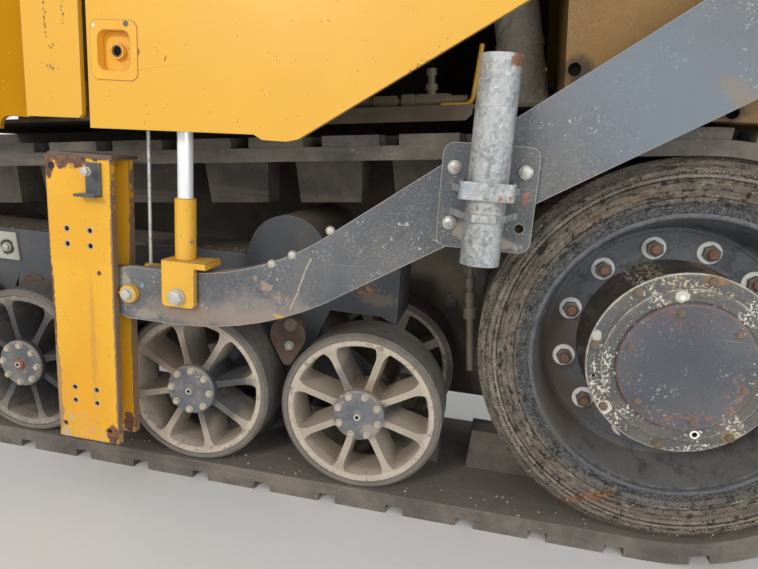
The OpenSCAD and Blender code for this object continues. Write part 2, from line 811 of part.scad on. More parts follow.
// Sliding block that the arm's nose is pinned to, inside the post's channel
module nose_block() {
    eye_r = arm_depth / 2 - 8;
    x1 = -nose_x - arm_depth / 2 - slide_gap - 1;
    x0 = post_x - post_w + 16 + slide_gap;
    color("#5b5f63") difference() {
        union() {
            block([x0, arm_y, arm_z - 90], [x1, arm_in_y, arm_z + 90]);
            xz(lap_y + 1, arm_in_y) link_2d([-nose_x, arm_z], eye_r, [x1 - 20, arm_z], eye_r);
        }
        bar_y(-nose_x, arm_z, pin_r + run, lap_y, arm_in_y + 1);
    }
}

// Front pin of the arm with its height pointer
module nose_pin() {
    head_y = arm_y - 12;
    color("#d9a02f") {
        bar_y(-nose_x, arm_z, pin_r, head_y, arm_in_y + 5);
        bar_y(-nose_x, arm_z, 20, head_y, arm_y);
        xz(head_y, head_y + 5) polygon([
            [-nose_x + 10, arm_z - 12], [-nose_x + 10, arm_z + 12],
            [-nose_x - 14, arm_z + 10], [-nose_x - 24, arm_z]
        ]);
    }
}

// Flange at the arm's rear end, for the screed
module screed_plate() {
    c = arm_at(3);
    wing = 45;
    half_h = 120;
    bolt_z = half_h - 30;
    color("#4d545e") difference() {
        block([c[0], arm_y - wing, c[1] - half_h], [end_x, arm_in_y + wing, c[1] + half_h]);
        for (y = [cyl_y - wing, cyl_y + wing], z = [c[1] - bolt_z, c[1] + bolt_z])
            translate([c[0] - 1, y, z]) rotate([0, 90, 0]) cylinder(r = 11, h = end_x - c[0] + 2);
    }
}

// Mast bracket: its place on the arm and its bolt holes
mast_x = -420;
plate_z = 763;
mast_bolt_r = 8.5;
mast_bolts = [for (x = [-64, 64], z = [-51, 51]) [mast_x + x, plate_z + z]];

// Plate bolted to the arm that carries the mast tube
module mast_plate() {
    color("#4d545e") difference() {
        xz(arm_y - plate_t, arm_y) round_rect([mast_x - plate_w / 2, plate_z - plate_h / 2],
            [mast_x + plate_w / 2, plate_z + plate_h / 2], 22);
        for (p = mast_bolts) bar_y(p[0], p[1], mast_bolt_r, arm_y - plate_t - 1, arm_y + 1);
    }
}

// Two shelves that hold the tube on its plate
module mast_shelves() {
    y1 = arm_y - plate_t;
    shelf_t = 12;
    color("#c9c4ba") for (z = [plate_z - 34, plate_z + 10]) difference() {
        translate([mast_x, 0, z]) linear_extrude(shelf_t) polygon([
            [-66, y1], [-58, y1 - 22], [-mast_r - 3, mast_y - 10], [-20, mast_y - mast_r - shelf_nose],
            [20, mast_y - mast_r - shelf_nose], [mast_r + 3, mast_y - 10], [50, y1 - 22], [58, y1]
        ]);
        translate([mast_x, mast_y, z - 1]) cylinder(r = mast_r + fit, h = shelf_t + 2);
    }
}

// Open galvanised tube for a mast or a ski arm
module mast_tube() {
    color("#c3c7c9") translate([mast_x, mast_y, mast_z]) difference() {
        cylinder(r = mast_r, h = mast_l);
        translate([0, 0, -1]) cylinder(r = mast_r - mast_wall, h = mast_l + 2);
    }
}

// Height cylinder: rod axis, gland height and top eye
cyl_y = (arm_y + arm_in_y) / 2;
gland_z = door_z + 24;
eye_z = body_top - rail - 34;

module tow_barrel() {
    top = eye_z - 34;
    color("#2d2f31") difference() {
        union() {
            translate([-clevis_x, cyl_y, gland_z]) cylinder(r = barrel_r, h = top - gland_z);
            xz(cyl_y - 14, cyl_y + 14) link_2d([-clevis_x, eye_z], 26, [-clevis_x, top], 20);
            for (y = [cyl_y - 26, cyl_y + 16])
                xz(y, y + 10) {
                    translate([-clevis_x, eye_z]) circle(24);
                    translate([-clevis_x - 24, eye_z]) square([48, body_top - rail - eye_z]);
                }
            bar_y(-clevis_x, eye_z, 12, cyl_y - 30, cyl_y + 30);
        }
        translate([-clevis_x, cyl_y, gland_z - 1]) cylinder(r = rod_r + run, h = 31);
        translate([-clevis_x, cyl_y, gland_z + 29]) cylinder(r = barrel_r - 8, h = top - gland_z - 44);
    }
}

rod_grip = 18;
sleeve_top = clevis_z + 205;
yoke_z = clevis_z + 62;

// Chrome rod with its piston end inside the barrel
module tow_rod() {
    color("#d7dbde") translate([-clevis_x, cyl_y, sleeve_top])
        cylinder(r = rod_r, h = gland_z + travel_down + rod_grip - sleeve_top);
}

// Yellow fork on the rod: two ears over the arm, joined above it, and a sleeve
module clevis() {
    y0 = arm_y - ear_gap - ear_t;
    y1 = arm_in_y + ear_gap;
    x0 = -clevis_x - ear_w / 2;
    x1 = -clevis_x + ear_w / 2;
    yoke_top = yoke_z + 14;
    color("#e3a72f") difference() {
        union() {
            for (y = [y0, y1]) xz(y, y + ear_t)
                round_rect([x0, clevis_z - 24], [x1, yoke_z + 12], 10);
            block([x0, y0, yoke_z], [x1 + 26, y1 + ear_t, yoke_top]);
            translate([-clevis_x, cyl_y, yoke_top]) cylinder(r = rod_r + 6, h = sleeve_top - yoke_top);
            xz(y1, y1 + ear_t) translate([level_x - 12, yoke_z - 26]) square([-level_x - clevis_x, 14]);
        }
        bar_y(-clevis_x, clevis_z, pin_r, y0 - 1, y1 + ear_t + 1);
    }
}

// Pin through the clevis and the arm
module clevis_pin() {
    y0 = arm_y - ear_gap - ear_t;
    y1 = arm_in_y + ear_gap + ear_t;
    color("#b9b9b4") {
        bar_y(-clevis_x, clevis_z, pin_r - fit / 10, y0, y1 + 6);
        bar_y(-clevis_x, clevis_z, pin_r + 2, y0 - 7, y0);
    }
}

// Thin rod that rises from the clevis behind the door
level_x = -1139;
module level_rod() {
    rod_foot = yoke_z - 12;
    rod_top = body_top - rail - 163;
    color("#a9aca9") translate([level_x, arm_in_y + ear_gap + ear_t / 2, rod_foot])
        cylinder(r = 4, h = rod_top - rod_foot);
}

// Door outline: straight front and top, a small step below and a sloping rear corner
module door_2d() {
    foot = 6;
    step = 9;
    nose = 24;
    blunt = 20;
    step_x = -door_corner - 72;
    rise_z = door_z + foot + (door_corner - door_rear) * tan(door_slope);
    polygon([
        [-door_front, door_z], [step_x - 17, door_z + step], [step_x, door_z], [-door_corner - nose, door_z],
        [-door_corner, door_z + foot], [-door_rear, rise_z], [-door_rear, panel_top - blunt],
        [-door_rear - blunt, panel_top], [-door_front, panel_top]
    ]);
}

latch_x = -1158;
latch_z = 987;
latch_w = 100;
latch_h = 110;
latch_rim = 9;
cup_w = 76;
cup_h = 80;
cup_depth = 21;

// A shape centred on the latch
module at_latch(w, h, r) {
    round_rect([latch_x - w / 2, latch_z - h / 2], [latch_x + w / 2, latch_z + h / 2], r);
}

// Side door, hinged at its top edge
module door() {
    color("#f0b437") difference() {
        xz(door_y, door_in_y) door_2d();
        xz(door_y - 1, door_y + latch_rim) at_latch(latch_w + 2 * fit, latch_h + 2 * fit, 16);
        xz(door_y - 1, door_in_y + 1) at_latch(cup_w + 2 * fit, cup_h + 2 * fit, 20);
    }
}

// Latch cup let into the door, with the round lock in its middle
module door_latch() {
    wall = 3;
    rim_out = 1.5;
    lock_r = 15;
    keyhole_r = 9;
    color("#e0a52f") difference() {
        union() {
            xz(door_y - rim_out, door_y + latch_rim) at_latch(latch_w, latch_h, 16);
            xz(door_y + latch_rim - 1, door_y + cup_depth) at_latch(cup_w, cup_h, 20);
        }
        difference() {
            xz(door_y - rim_out - 1, door_y + cup_depth - wall)
                at_latch(cup_w - 2 * wall, cup_h - 2 * wall, 17);
            bar_y(latch_x, latch_z, lock_r, door_y + 8, door_y + cup_depth);
        }
        bar_y(latch_x, latch_z, keyhole_r, door_y, door_y + cup_depth - 1);
    }
}

// Door hinges: knuckles turn on pins above the door's top edge
hinge_xs = [-1100, -500];
hinge_y = door_in_y - 6;
hinge_z = panel_top + 10;
hinge_r = 8;

module door_knuckles() {
    color("#caa040") for (x = hinge_xs) difference() {
        union() {
            translate([x - 20, hinge_y, hinge_z]) rotate([0, 90, 0]) cylinder(r = hinge_r, h = 40);
            block([x - 20, hinge_y - 3, panel_top], [x + 20, hinge_y + 3, hinge_z - 3]);
        }
        translate([x - 21, hinge_y, hinge_z]) rotate([0, 90, 0]) cylinder(r = 4 + run, h = 42);
    }
}

module hinge_leaves() {
    color("#8f8f8a") for (x = hinge_xs) {
        for (s = [-42, 21]) {
            translate([x + s, hinge_y, hinge_z]) rotate([0, 90, 0]) cylinder(r = hinge_r, h = 21);
            block([x + s, hinge_y, hinge_z + 2], [x + s + 21, rail_y, hinge_z + 8]);
        }
        translate([x - 42, hinge_y, hinge_z]) rotate([0, 90, 0]) cylinder(r = 4, h = 84);
    }
}

// Narrow fixed panel in front of the door, on two brackets
module front_panel() {
    foot_z = door_z + 15;
    bracket_w = 18;
    color("#efb236") {
        xz(door_y, door_in_y) polygon([
            [strip_x, foot_z], [strip_rear - 8, foot_z + 3], [strip_rear, foot_z + 11],
            [strip_rear, panel_top], [strip_x, panel_top]
        ]);
        block([pillar_x - 68, door_in_y, panel_top - 40], [pillar_x - 28, rail_y, body_top - rail + 30]);
        block([pillar_x, door_in_y, foot_z + 27], [pillar_x + bracket_w, rail_y, foot_z + 77]);
    }
}

// Front body panel, set back and cut away above the belt
module fender_panel() {
    rear_x = strip_x - 27;
    cut_x = rear_x - 73;
    cut_z = door_z + 13;
    cut_r = 24;
    top_z = body_top - rail - 12;
    foot_z = deck_z(-body_front) + deck_t + 14;
    color("#e6a930") xz(fender_y, fender_in_y) polygon(concat(
        [[-body_front, foot_z], [cut_x, foot_z]],
        [for (a = [180 : -15 : 90]) [cut_x + cut_r, cut_z - cut_r] + cut_r * [cos(a), sin(a)]],
        [[rear_x, cut_z], [rear_x, top_z], [-body_front, top_z]]
    ));
}

// Roof frame of the body
module top_rail() {
    color("#d8a02f") block([-body_front, rail_y, body_top - rail], [roof_rear, rail_in_y, body_top]);
}

module cross_beams() {
    color("#d8a02f") for (x = [-body_front, pillar_x, roof_rear - rail])
        block([x, rail_in_y, body_top - rail], [x + rail, frame_out_y - deck_t, body_top]);
}

// Posts under the roof frame; a foot ties the rear one to the deck
module pillars() {
    foot_z = deck_z(pillar_x) - 6;
    foot_t = 18;
    color("#d8a02f") {
        block([pillar_x, rail_y, foot_z], [pillar_x + pillar_w, rail_in_y, body_top - rail]);
        block([pillar_x, rail_in_y, foot_z + 6], [pillar_x + pillar_w, deck_y, foot_z + 6 + foot_t]);
        block([-body_front, fender_in_y, deck_z(-body_front) + 36],
            [-body_front + rail, rail_in_y, body_top - rail]);
    }
}

module top_sheet() {
    sheet_t = 5;
    color("#3c3f42") block([-body_front, rail_y, body_top], [roof_rear, frame_out_y, body_top + sheet_t]);
}

// Sloping deck over the belt, with a folded lip behind the door
module deck() {
    x1 = tank_x - 1;
    lip_x0 = pillar_x + pillar_w + 10;
    lip_x1 = tank_x - 160;
    lip_h = 24;
    color("#37332d") {
        xz(deck_y, frame_out_y) polygon([
            [-body_front, deck_z(-body_front)], [x1, deck_z(x1)],
            [x1, deck_z(x1) + deck_t], [-body_front, deck_z(-body_front) + deck_t]
        ]);
        xz(deck_y, deck_y + deck_t) polygon([
            [lip_x0, deck_z(lip_x0) - lip_h], [lip_x1 - 12, deck_z(lip_x1) - lip_h],
            [lip_x1, deck_z(lip_x1) - lip_h + 12], [lip_x1, deck_z(lip_x1) + 1], [lip_x0, deck_z(lip_x0) + 1]
        ]);
    }
}

// Its children stand on the deck at x and y, with X along the deck's slope
module on_deck(x, y) {
    translate([x, y, deck_z(x) + deck_t]) rotate([0, -upper, 0]) children();
}

// Ball valve with its pipe and couplings, on a foot on the deck
module valve() {
    axis_z = 17;
    body_r = 15;
    pipe_r = 10;
    cup_r = 13.5;
    color("#7d6c55") on_deck(-562, 110) {
        translate([0, 0, axis_z]) rotate([0, 90, 0]) rotate_extrude($fn = 40) polygon([
            [0, -200], [pipe_r, -200], [pipe_r, -128], [cup_r, -128], [cup_r, -76], [8, -76],
            [8, -64], [body_r + 1, -64], [body_r + 1, -40], [cup_r, -40], [cup_r, -30],
            [body_r, -30], [body_r, 34], [cup_r, 34], [cup_r, 42], [pipe_r, 42], [pipe_r, 78], [0, 78]
        ]);
        translate([0, 0, axis_z]) rotate_extrude($fn = 40) polygon([
            [0, 0], [pipe_r, 0], [pipe_r, 22], [cup_r, 22], [cup_r, 34], [8, 34], [8, 52],
            [11, 52], [11, 66], [0, 66]
        ]);
        block([-22, -11, 0], [22, 11, axis_z - 8]);
    }
}

// Bent guard rod that stands on the deck behind the mast tube
module guard_rod() {
    guard_r = 5;
    guard_y = 86;
    guard_l = 120;
    x0 = -540;
    x1 = -474;
    lift = deck_t + guard_r + fit / 2;
    z0 = deck_z(x0) + lift;
    z1 = deck_z(x1) + lift;
    bend = 13;
    path = [
        [x0, z0], [x1 - bend, z1 - bend * tan(upper)], [x1 - bend / 3, z1 + bend / 3],
        [x1, z1 + bend], [x1 + 8, z1 + guard_l]
    ];
    color("#d9a02f") for (i = [0 : len(path) - 2]) {
        d = path[i + 1] - path[i];
        translate([path[i][0], guard_y, path[i][1]]) {
            rotate([0, 90 - atan2(d[1], d[0]), 0]) cylinder(r = guard_r, h = norm(d), $fn = 24);
            if (i > 0) sphere(r = guard_r + 0.2, $fn = 24);
        }
    }
}

// Air duct that rises from the deck in front of the tank
module duct() {
    duct_r = 48;
    foot_x = tank_x - 45;
    duct_y = 150;
    duct_l = 300;
    duct_tilt = 13;
    clamp_z = 150;
    color("#4b4640") intersection() {
        translate([foot_x, duct_y, deck_z(foot_x) - 20]) rotate([0, -duct_tilt, 0]) rotate_extrude() polygon([
            [0, 0], [duct_r, 0], [duct_r, clamp_z], [duct_r + 3, clamp_z], [duct_r + 3, clamp_z + 14],
            [duct_r, clamp_z + 14], [duct_r, duct_l], [duct_r - 6, duct_l + 6], [0, duct_l + 6]
        ]);
        xz(0, frame_y) polygon([
            [foot_x - 200, deck_z(foot_x - 200) + deck_t], [foot_x + 100, deck_z(foot_x + 100) + deck_t],
            [foot_x + 100, body_top], [foot_x - 200, body_top]
        ]);
    }
}

// Wall behind the panels
module inner_wall() {
    rear = tank_x - 1;
    color("#2c2a28") xz(frame_out_y - deck_t, frame_out_y) polygon([
        [-body_front, deck_z(-body_front) + deck_t], [rear, deck_z(rear) + deck_t],
        [rear, body_top], [-body_front, body_top]
    ]);
}

// Tank above the drive wheel, with two blind holes in its outer side
module rear_tank() {
    hole_r = 12;
    hole_depth = 16;
    holes = [[tank_x + 21, tank_z + 76], [-9, tank_z + 16]];
    color("#e2a52e") difference() {
        xz(tank_y, frame_y) polygon([
            [tank_x + 11, tank_z], [tank_rear - 30, tank_z], [tank_rear, tank_z + 30],
            [tank_rear, body_top - 40], [tank_rear - 40, body_top], [tank_x - 24, body_top]
        ]);
        for (h = holes) bar_y(h[0], h[1], hole_r, tank_y - 1, tank_y + hole_depth);
    }
}

translate(shift) belt();
translate(shift) drive_tyres();
translate(shift) drive_rims();
translate(shift) final_drive();
translate(shift) drive_cover();
translate(shift) drive_housing();
translate(shift) idler_tyres();
translate(shift) idler_rims();
translate(shift) idler_axle();
translate(shift) tension_barrel();
translate(shift) bogie_tyres();
translate(shift) bogie_wheels();
translate(shift) bogie_caps();
translate(shift) bogie_axles();
translate(shift) bogie_arms();
translate(shift) bogie_pivots();
translate(shift) track_frame();
translate(shift) cross_tubes();
translate(shift) side_frame();
translate(shift) stop_discs();
translate(shift) adapter_plate();
translate(shift) scraper();
translate(shift) post_plate();
translate(shift) post_channel();
translate(shift) post_beam();
translate(shift) post_cap();
translate(shift) post_angle();
translate(shift) tow_arm();
translate(shift) nose_block();
translate(shift) nose_pin();
translate(shift) screed_plate();
translate(shift) mast_plate();
translate(shift) mast_shelves();
translate(shift) mast_tube();
translate(shift) tow_barrel();
translate(shift) tow_rod();
translate(shift) clevis();
translate(shift) clevis_pin();
translate(shift) level_rod();
translate(shift) door();
translate(shift) door_latch();
translate(shift) door_knuckles();
translate(shift) hinge_leaves();
translate(shift) front_panel();
translate(shift) fender_panel();
translate(shift) top_rail();
translate(shift) cross_beams();
translate(shift) pillars();
translate(shift) top_sheet();
translate(shift) deck();
translate(shift) inner_wall();
translate(shift) rear_tank();
translate(shift) valve();
translate(shift) guard_rod();
translate(shift) duct();
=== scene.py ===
import json
import math
import random

import bmesh
import bpy
from mathutils import Matrix, Vector


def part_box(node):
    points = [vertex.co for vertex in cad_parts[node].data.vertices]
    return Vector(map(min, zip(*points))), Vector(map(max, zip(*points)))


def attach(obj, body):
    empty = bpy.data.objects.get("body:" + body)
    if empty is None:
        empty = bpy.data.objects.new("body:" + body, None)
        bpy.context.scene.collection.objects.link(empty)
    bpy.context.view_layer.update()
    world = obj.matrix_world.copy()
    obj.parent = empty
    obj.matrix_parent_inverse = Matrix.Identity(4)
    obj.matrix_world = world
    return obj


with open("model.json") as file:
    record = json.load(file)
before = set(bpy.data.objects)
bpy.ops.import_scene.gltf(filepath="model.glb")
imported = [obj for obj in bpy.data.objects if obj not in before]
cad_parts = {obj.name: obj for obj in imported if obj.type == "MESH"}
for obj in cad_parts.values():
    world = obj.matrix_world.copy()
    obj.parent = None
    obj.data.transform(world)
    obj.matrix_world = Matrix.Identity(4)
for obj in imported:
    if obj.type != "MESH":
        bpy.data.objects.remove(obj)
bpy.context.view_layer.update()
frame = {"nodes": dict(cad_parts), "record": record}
nodes = frame["nodes"]
print("frame loaded:", len(nodes), "nodes")

# the drive axle and the belt's outer edge are where the paver's own sizes start, in millimetres
hubLow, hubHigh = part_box("final_drive")
beltLow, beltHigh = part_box("belt")
beltEdge = beltLow.y
beltWidth = (beltHigh.y - beltLow.y) * 1000
axleX = (hubLow.x + hubHigh.x) / 2
axleZ = (hubLow.z + hubHigh.z) / 2
hubZ = axleZ * 1000


def here(x, y, z):
    return Vector((axleX + x / 1000, beltEdge + y / 1000, z / 1000))


def front(node):
    # the outer face of a CAD node, in the paver's millimetres
    return (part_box(node)[0].y - beltEdge) * 1000


# the photographer's place
shot = {
    "eye": (0.6183, -1.355, 0.8394),
    "yaw": -10.49,
    "pitch": -13.12,
    "roll": 4.07,
    "focalPixels": 585.8,
    "framePixels": 758,
}


def setCamera():
    yaw, pitch, roll = (math.radians(shot[k]) for k in ("yaw", "pitch", "roll"))
    ahead = Vector((math.sin(yaw) * math.cos(pitch), math.cos(yaw) * math.cos(pitch), math.sin(pitch)))
    right = Vector((math.cos(yaw), -math.sin(yaw), 0))
    up = right.cross(ahead)
    side = math.cos(roll) * right + math.sin(roll) * up
    top = -math.sin(roll) * right + math.cos(roll) * up
    data = bpy.data.cameras.new("photoCamera")
    data.sensor_fit = "HORIZONTAL"
    data.sensor_width = 36
    data.lens = shot["focalPixels"] / shot["framePixels"] * 36
    data.clip_start = 0.02
    camera = bpy.data.objects.new("photoCamera", data)
    turn = Matrix((side, top, -ahead)).transposed().to_4x4()
    camera.matrix_world = Matrix.Translation(shot["eye"]) @ turn
    bpy.context.scene.collection.objects.link(camera)
    bpy.context.scene.camera = camera


setCamera()
print("camera set")

# material building blocks


def startMaterial(name):
    material = bpy.data.materials.new(name)
    material.use_nodes = True
    material.node_tree.nodes.clear()
    return material


def add(tree, kind, values=None, **settings):
    made = tree.nodes.new("ShaderNode" + kind)
    for key, value in settings.items():
        setattr(made, key, value)
    for key, value in (values or {}).items():
        feed(tree, made.inputs[key], value)
    return made


def feed(tree, socket, value):
    if isinstance(value, bpy.types.NodeSocket):
        tree.links.new(value, socket)
    elif socket.type == "RGBA" and len(value) == 3:
        socket.default_value = (*value, 1)
    else:
        socket.default_value = value


def where(tree):
    return add(tree, "TexCoord").outputs["Object"]


def calc(tree, operation, a, b=0.0):
    return add(tree, "Math", {0: a, 1: b}, operation=operation).outputs[0]


def times(tree, *values):
    result = values[0]
    for value in values[1:]:
        result = calc(tree, "MULTIPLY", result, value)
    return result


def fade(tree, value, low, high):
    values = {"Value": value, "From Min": low, "From Max": high}
    return add(tree, "MapRange", values, interpolation_type="SMOOTHSTEP").outputs["Result"]


def mixed(tree, factor, a, b):
    return add(tree, "Mix", {0: factor, 6: a, 7: b}, data_type="RGBA").outputs[2]


def grain(tree, scale, detail=4.0, rough=0.55, stretch=None, twist=0.0, turn=(0, 0, 0)):
    spot = where(tree)
    if stretch:
        spot = add(tree, "Mapping", {"Vector": spot, "Scale": stretch, "Rotation": turn}).outputs[0]
    values = {"Vector": spot, "Scale": scale, "Detail": detail, "Roughness": rough, "Distortion": twist}
    return add(tree, "TexNoise", values).outputs["Fac"]


def cells(tree, scale):
    return add(tree, "TexVoronoi", {"Vector": where(tree), "Scale": scale}).outputs["Distance"]


def upward(tree):
    normal = add(tree, "TexCoord").outputs["Normal"]
    return add(tree, "SeparateXYZ", {0: normal}).outputs["Z"]


def offset(tree, centre):
    return add(tree, "VectorMath", {0: where(tree), 1: tuple(centre)}, operation="SUBTRACT").outputs[0]


def length(tree, vector, scale=(1, 0, 1)):
    flat = add(tree, "VectorMath", {0: vector, 1: scale}, operation="MULTIPLY").outputs[0]
    return add(tree, "VectorMath", {0: flat}, operation="LENGTH").outputs["Value"]


def fromAxle(tree, x=0.0, z=None):
    # distance in metres from an axle along Y
    return length(tree, offset(tree, here(x, 0, hubZ if z is None else z)))


def fromRing(tree, radius, count, phase):
    # distance in millimetres to the nearest of a ring of points round the drive axle
    parts = add(tree, "SeparateXYZ", {0: offset(tree, here(0, 0, hubZ))}).outputs
    step = 2 * math.pi / count
    turn = calc(tree, "ARCTAN2", parts["Z"], parts["X"])
    turn = calc(tree, "DIVIDE", calc(tree, "SUBTRACT", turn, math.radians(phase)), step)
    along = times(tree, calc(tree, "SUBTRACT", turn, calc(tree, "ROUND", turn)), step * radius)
    across = calc(tree, "SUBTRACT", times(tree, fromAxle(tree), 1000.0), radius)
    square = calc(tree, "ADD", times(tree, along, along), times(tree, across, across))
    return calc(tree, "SQRT", square)


def streaks(tree, along, across, detail=6.0, rough=0.65):
    # noise drawn out round the drive axle: along sets how short its streaks are, across how fine
    vector = offset(tree, here(0, 0, hubZ))
    flat = add(tree, "VectorMath", {0: vector, 1: (1, 0, 1)}, operation="MULTIPLY").outputs[0]
    turn = add(tree, "VectorMath", {0: flat}, operation="NORMALIZE").outputs[0]
    parts = add(tree, "SeparateXYZ", {0: turn}).outputs
    depth = times(tree, add(tree, "SeparateXYZ", {0: vector}).outputs["Y"], 0.6)
    layer = times(tree, calc(tree, "ADD", length(tree, vector), depth), across)
    values = {0: times(tree, parts["X"], along), 1: layer, 2: times(tree, parts["Z"], along)}
    spot = add(tree, "CombineXYZ", values).outputs[0]
    values = {"Vector": spot, "Scale": 1.0, "Detail": detail, "Roughness": rough}
    return add(tree, "TexNoise", values).outputs["Fac"]


def fromBogies(tree):
    # distance in metres to the nearest bogie axle
    nearest = None
    for x in capBolts["turns"]:
        away = fromAxle(tree, x, capBolts["wheelZ"])
        nearest = away if nearest is None else calc(tree, "MINIMUM", nearest, away)
    return nearest


def patch(tree, mark):
    # 1 inside a ragged oval seen from the side, 0 outside; sizes are half widths in millimetres
    vector = offset(tree, here(mark["at"][0], 0, mark["at"][1]))
    if mark.get("lean"):
        values = {"Vector": vector, "Angle": math.radians(mark["lean"])}
        vector = add(tree, "VectorRotate", values, rotation_type="Y_AXIS").outputs[0]
    reach = length(tree, vector, (1000 / mark["size"][0], 0, 1000 / mark["size"][1]))
    torn = calc(tree, "SUBTRACT", grain(tree, mark.get("grain", 40.0), 7, 0.72), 0.5)
    reach = calc(tree, "ADD", reach, times(tree, torn, mark.get("ragged", 1.6)))
    soft = mark.get("soft", 0.12)
    area = times(tree, fade(tree, reach, 1.0 + soft, 1.0 - soft), mark.get("amount", 1.0))
    if mark.get("broken"):
        area = times(tree, area, fade(tree, grain(tree, mark["broken"], 4, 0.6), 0.52, 0.57))
    return area


def rimmed(tree, radius):
    # bright where the surface is near one of its own edges
    soft = add(tree, "Bevel", {"Radius": radius}, samples=6).outputs[0]
    hard = add(tree, "NewGeometry").outputs["Normal"]
    match = add(tree, "VectorMath", {0: soft, 1: hard}, operation="DOT_PRODUCT").outputs["Value"]
    return fade(tree, match, 0.995, 0.80)


def finishMaterial(material, color, rough, metal=0.0, height=None, depth=0.002, extra=None):
    tree = material.node_tree
    shader = add(tree, "BsdfPrincipled", {"Base Color": color, "Roughness": rough, "Metallic": metal})
    for key, value in (extra or {}).items():
        feed(tree, shader.inputs[key], value)
    if height is not None:
        bump = add(tree, "Bump", {"Height": height, "Strength": 1.0, "Distance": depth})
        tree.links.new(bump.outputs[0], shader.inputs["Normal"])
    output = add(tree, "OutputMaterial")
    tree.links.new(shader.outputs[0], output.inputs[0])
    return material


# worn paint: one recipe for all, with a layer for each kind of wear and a dictionary for each finish; some
# finishes' marks and edges also carry painted light


def stippled(tree, look, color):
    dots = fade(tree, grain(tree, look.get("stippleScale", 240), 3, 0.6), 0.50, 0.66)
    zone = fade(tree, grain(tree, 8, 5, 0.65), 0.30, 0.62)
    return mixed(tree, times(tree, dots, zone, look["stipple"]), color, look["dustColor"])


def scratched(tree, look, color):
    # fine lines in three directions
    lines = None
    for turn, scale in ((0.5, 1.1), (-0.9, 0.9), (1.4, 1.0)):
        fine = scale * look.get("scratchScale", 300)
        line = grain(tree, fine, 2, stretch=(0.022, 1, 1), turn=(0, turn, 0))
        line = fade(tree, line, 0.68, 0.75)
        lines = line if lines is None else calc(tree, "MAXIMUM", lines, line)
    region = fade(tree, grain(tree, 5, 3), 0.42, 0.6)
    return mixed(tree, times(tree, lines, region, look["scratches"]), color, look["bare"])


def specked(tree, look, color):
    dots = fade(tree, cells(tree, look.get("speckScale", 160)), look.get("speckSize", 0.20), 0.12)
    choose = fade(tree, grain(tree, 30, 3), 0.60 - 0.25 * look["specks"], 0.66)
    return mixed(tree, times(tree, dots, choose), color, look["speck"])


def ringed(tree, look, color):
    # broken lines round the drive axle
    for ring in look["rings"]:
        away = times(tree, fromAxle(tree), 1000.0)
        off = calc(tree, "ABSOLUTE", calc(tree, "SUBTRACT", away, ring["radius"]))
        off = calc(tree, "ADD", off, times(tree, grain(tree, 38, 6, 0.7), ring["width"] * 1.6))
        line = fade(tree, off, ring["width"] * 1.5, ring["width"])
        gaps = fade(tree, grain(tree, 42, 6, 0.75), ring["gaps"], ring["gaps"] + 0.10)
        color = mixed(tree, times(tree, line, gaps, ring["amount"]), color, ring["color"])
    return color


def flaked(tree, look, color):
    bits = fade(tree, grain(tree, look["flakeScale"], 3, 0.55), 0.62, 0.66)
    bare = 0.66 - 0.3 * look["flakes"]
    zone = fade(tree, grain(tree, 15, 4, 0.6), bare, bare + 0.04)
    return mixed(tree, times(tree, bits, zone), color, look["speck"])


def barrelled(tree, look, color):
    # another colour on what doesn't face along the axle
    normal = add(tree, "TexCoord").outputs["Normal"]
    side = add(tree, "SeparateXYZ", {0: normal}).outputs["Y"]
    barrel = fade(tree, calc(tree, "ABSOLUTE", side), 0.5, 0.3)
    return mixed(tree, barrel, color, rustColor(tree, look["barrel"], look["barrelPale"]))


def swept(tree, look, color):
    # dark and dusty smears round the drive axle
    dark = fade(tree, streaks(tree, 5.0, 26, 7, 0.66), 0.50, 0.64)
    color = mixed(tree, times(tree, dark, 0.6), color, look["sweep"])
    dusty = fade(tree, streaks(tree, 9.0, 60, 7, 0.70), 0.56, 0.66)
    return mixed(tree, times(tree, dusty, 0.5), color, look["dustColor"])


def rimWorn(tree, look, color):
    # the bogie wheels' worn rims, with a black gap against the tyre and rusty spots
    away = fromBogies(tree)
    rim = times(tree, fade(tree, away, 0.156, 0.160), fade(tree, away, 0.1745, 0.1735))
    pitted = fade(tree, grain(tree, 70, 5, 0.7), 0.38, 0.56)
    pitted = calc(tree, "ADD", times(tree, pitted, 0.7), 0.3)
    color = mixed(tree, times(tree, rim, pitted, 0.85), color, look["rim"])
    color = mixed(tree, fade(tree, away, 0.1720, 0.1732), color, look["rimGap"])
    spots = fade(tree, grain(tree, 50, 6, 0.72), 0.56, 0.62)
    return mixed(tree, times(tree, rim, spots, 0.7), color, look["rimSpot"])


def haloed(tree, look, color):
    # a stain round each bolt of a ring
    for halo in look["halos"]:
        off = fromRing(tree, halo["radius"], halo["count"], halo["phase"])
        off = calc(tree, "ADD", off, times(tree, grain(tree, 34, 6, 0.7), halo["size"] * 1.3))
        stain = fade(tree, off, halo["size"] * 1.6, halo["size"] * 1.35)
        color = mixed(tree, stain, color, halo["color"])
    return color


def layered(tree, look, color, layers):
    for key, layer in layers.items():
        if look.get(key):
            color = layer(tree, look, color)
    return color


underDust = {"stipple": stippled, "scratches": scratched, "specks": specked}
overDust = {
    "rings": ringed, "flakes": flaked, "barrel": barrelled, "sweep": swept, "rim": rimWorn,
    "halos": haloed,
}


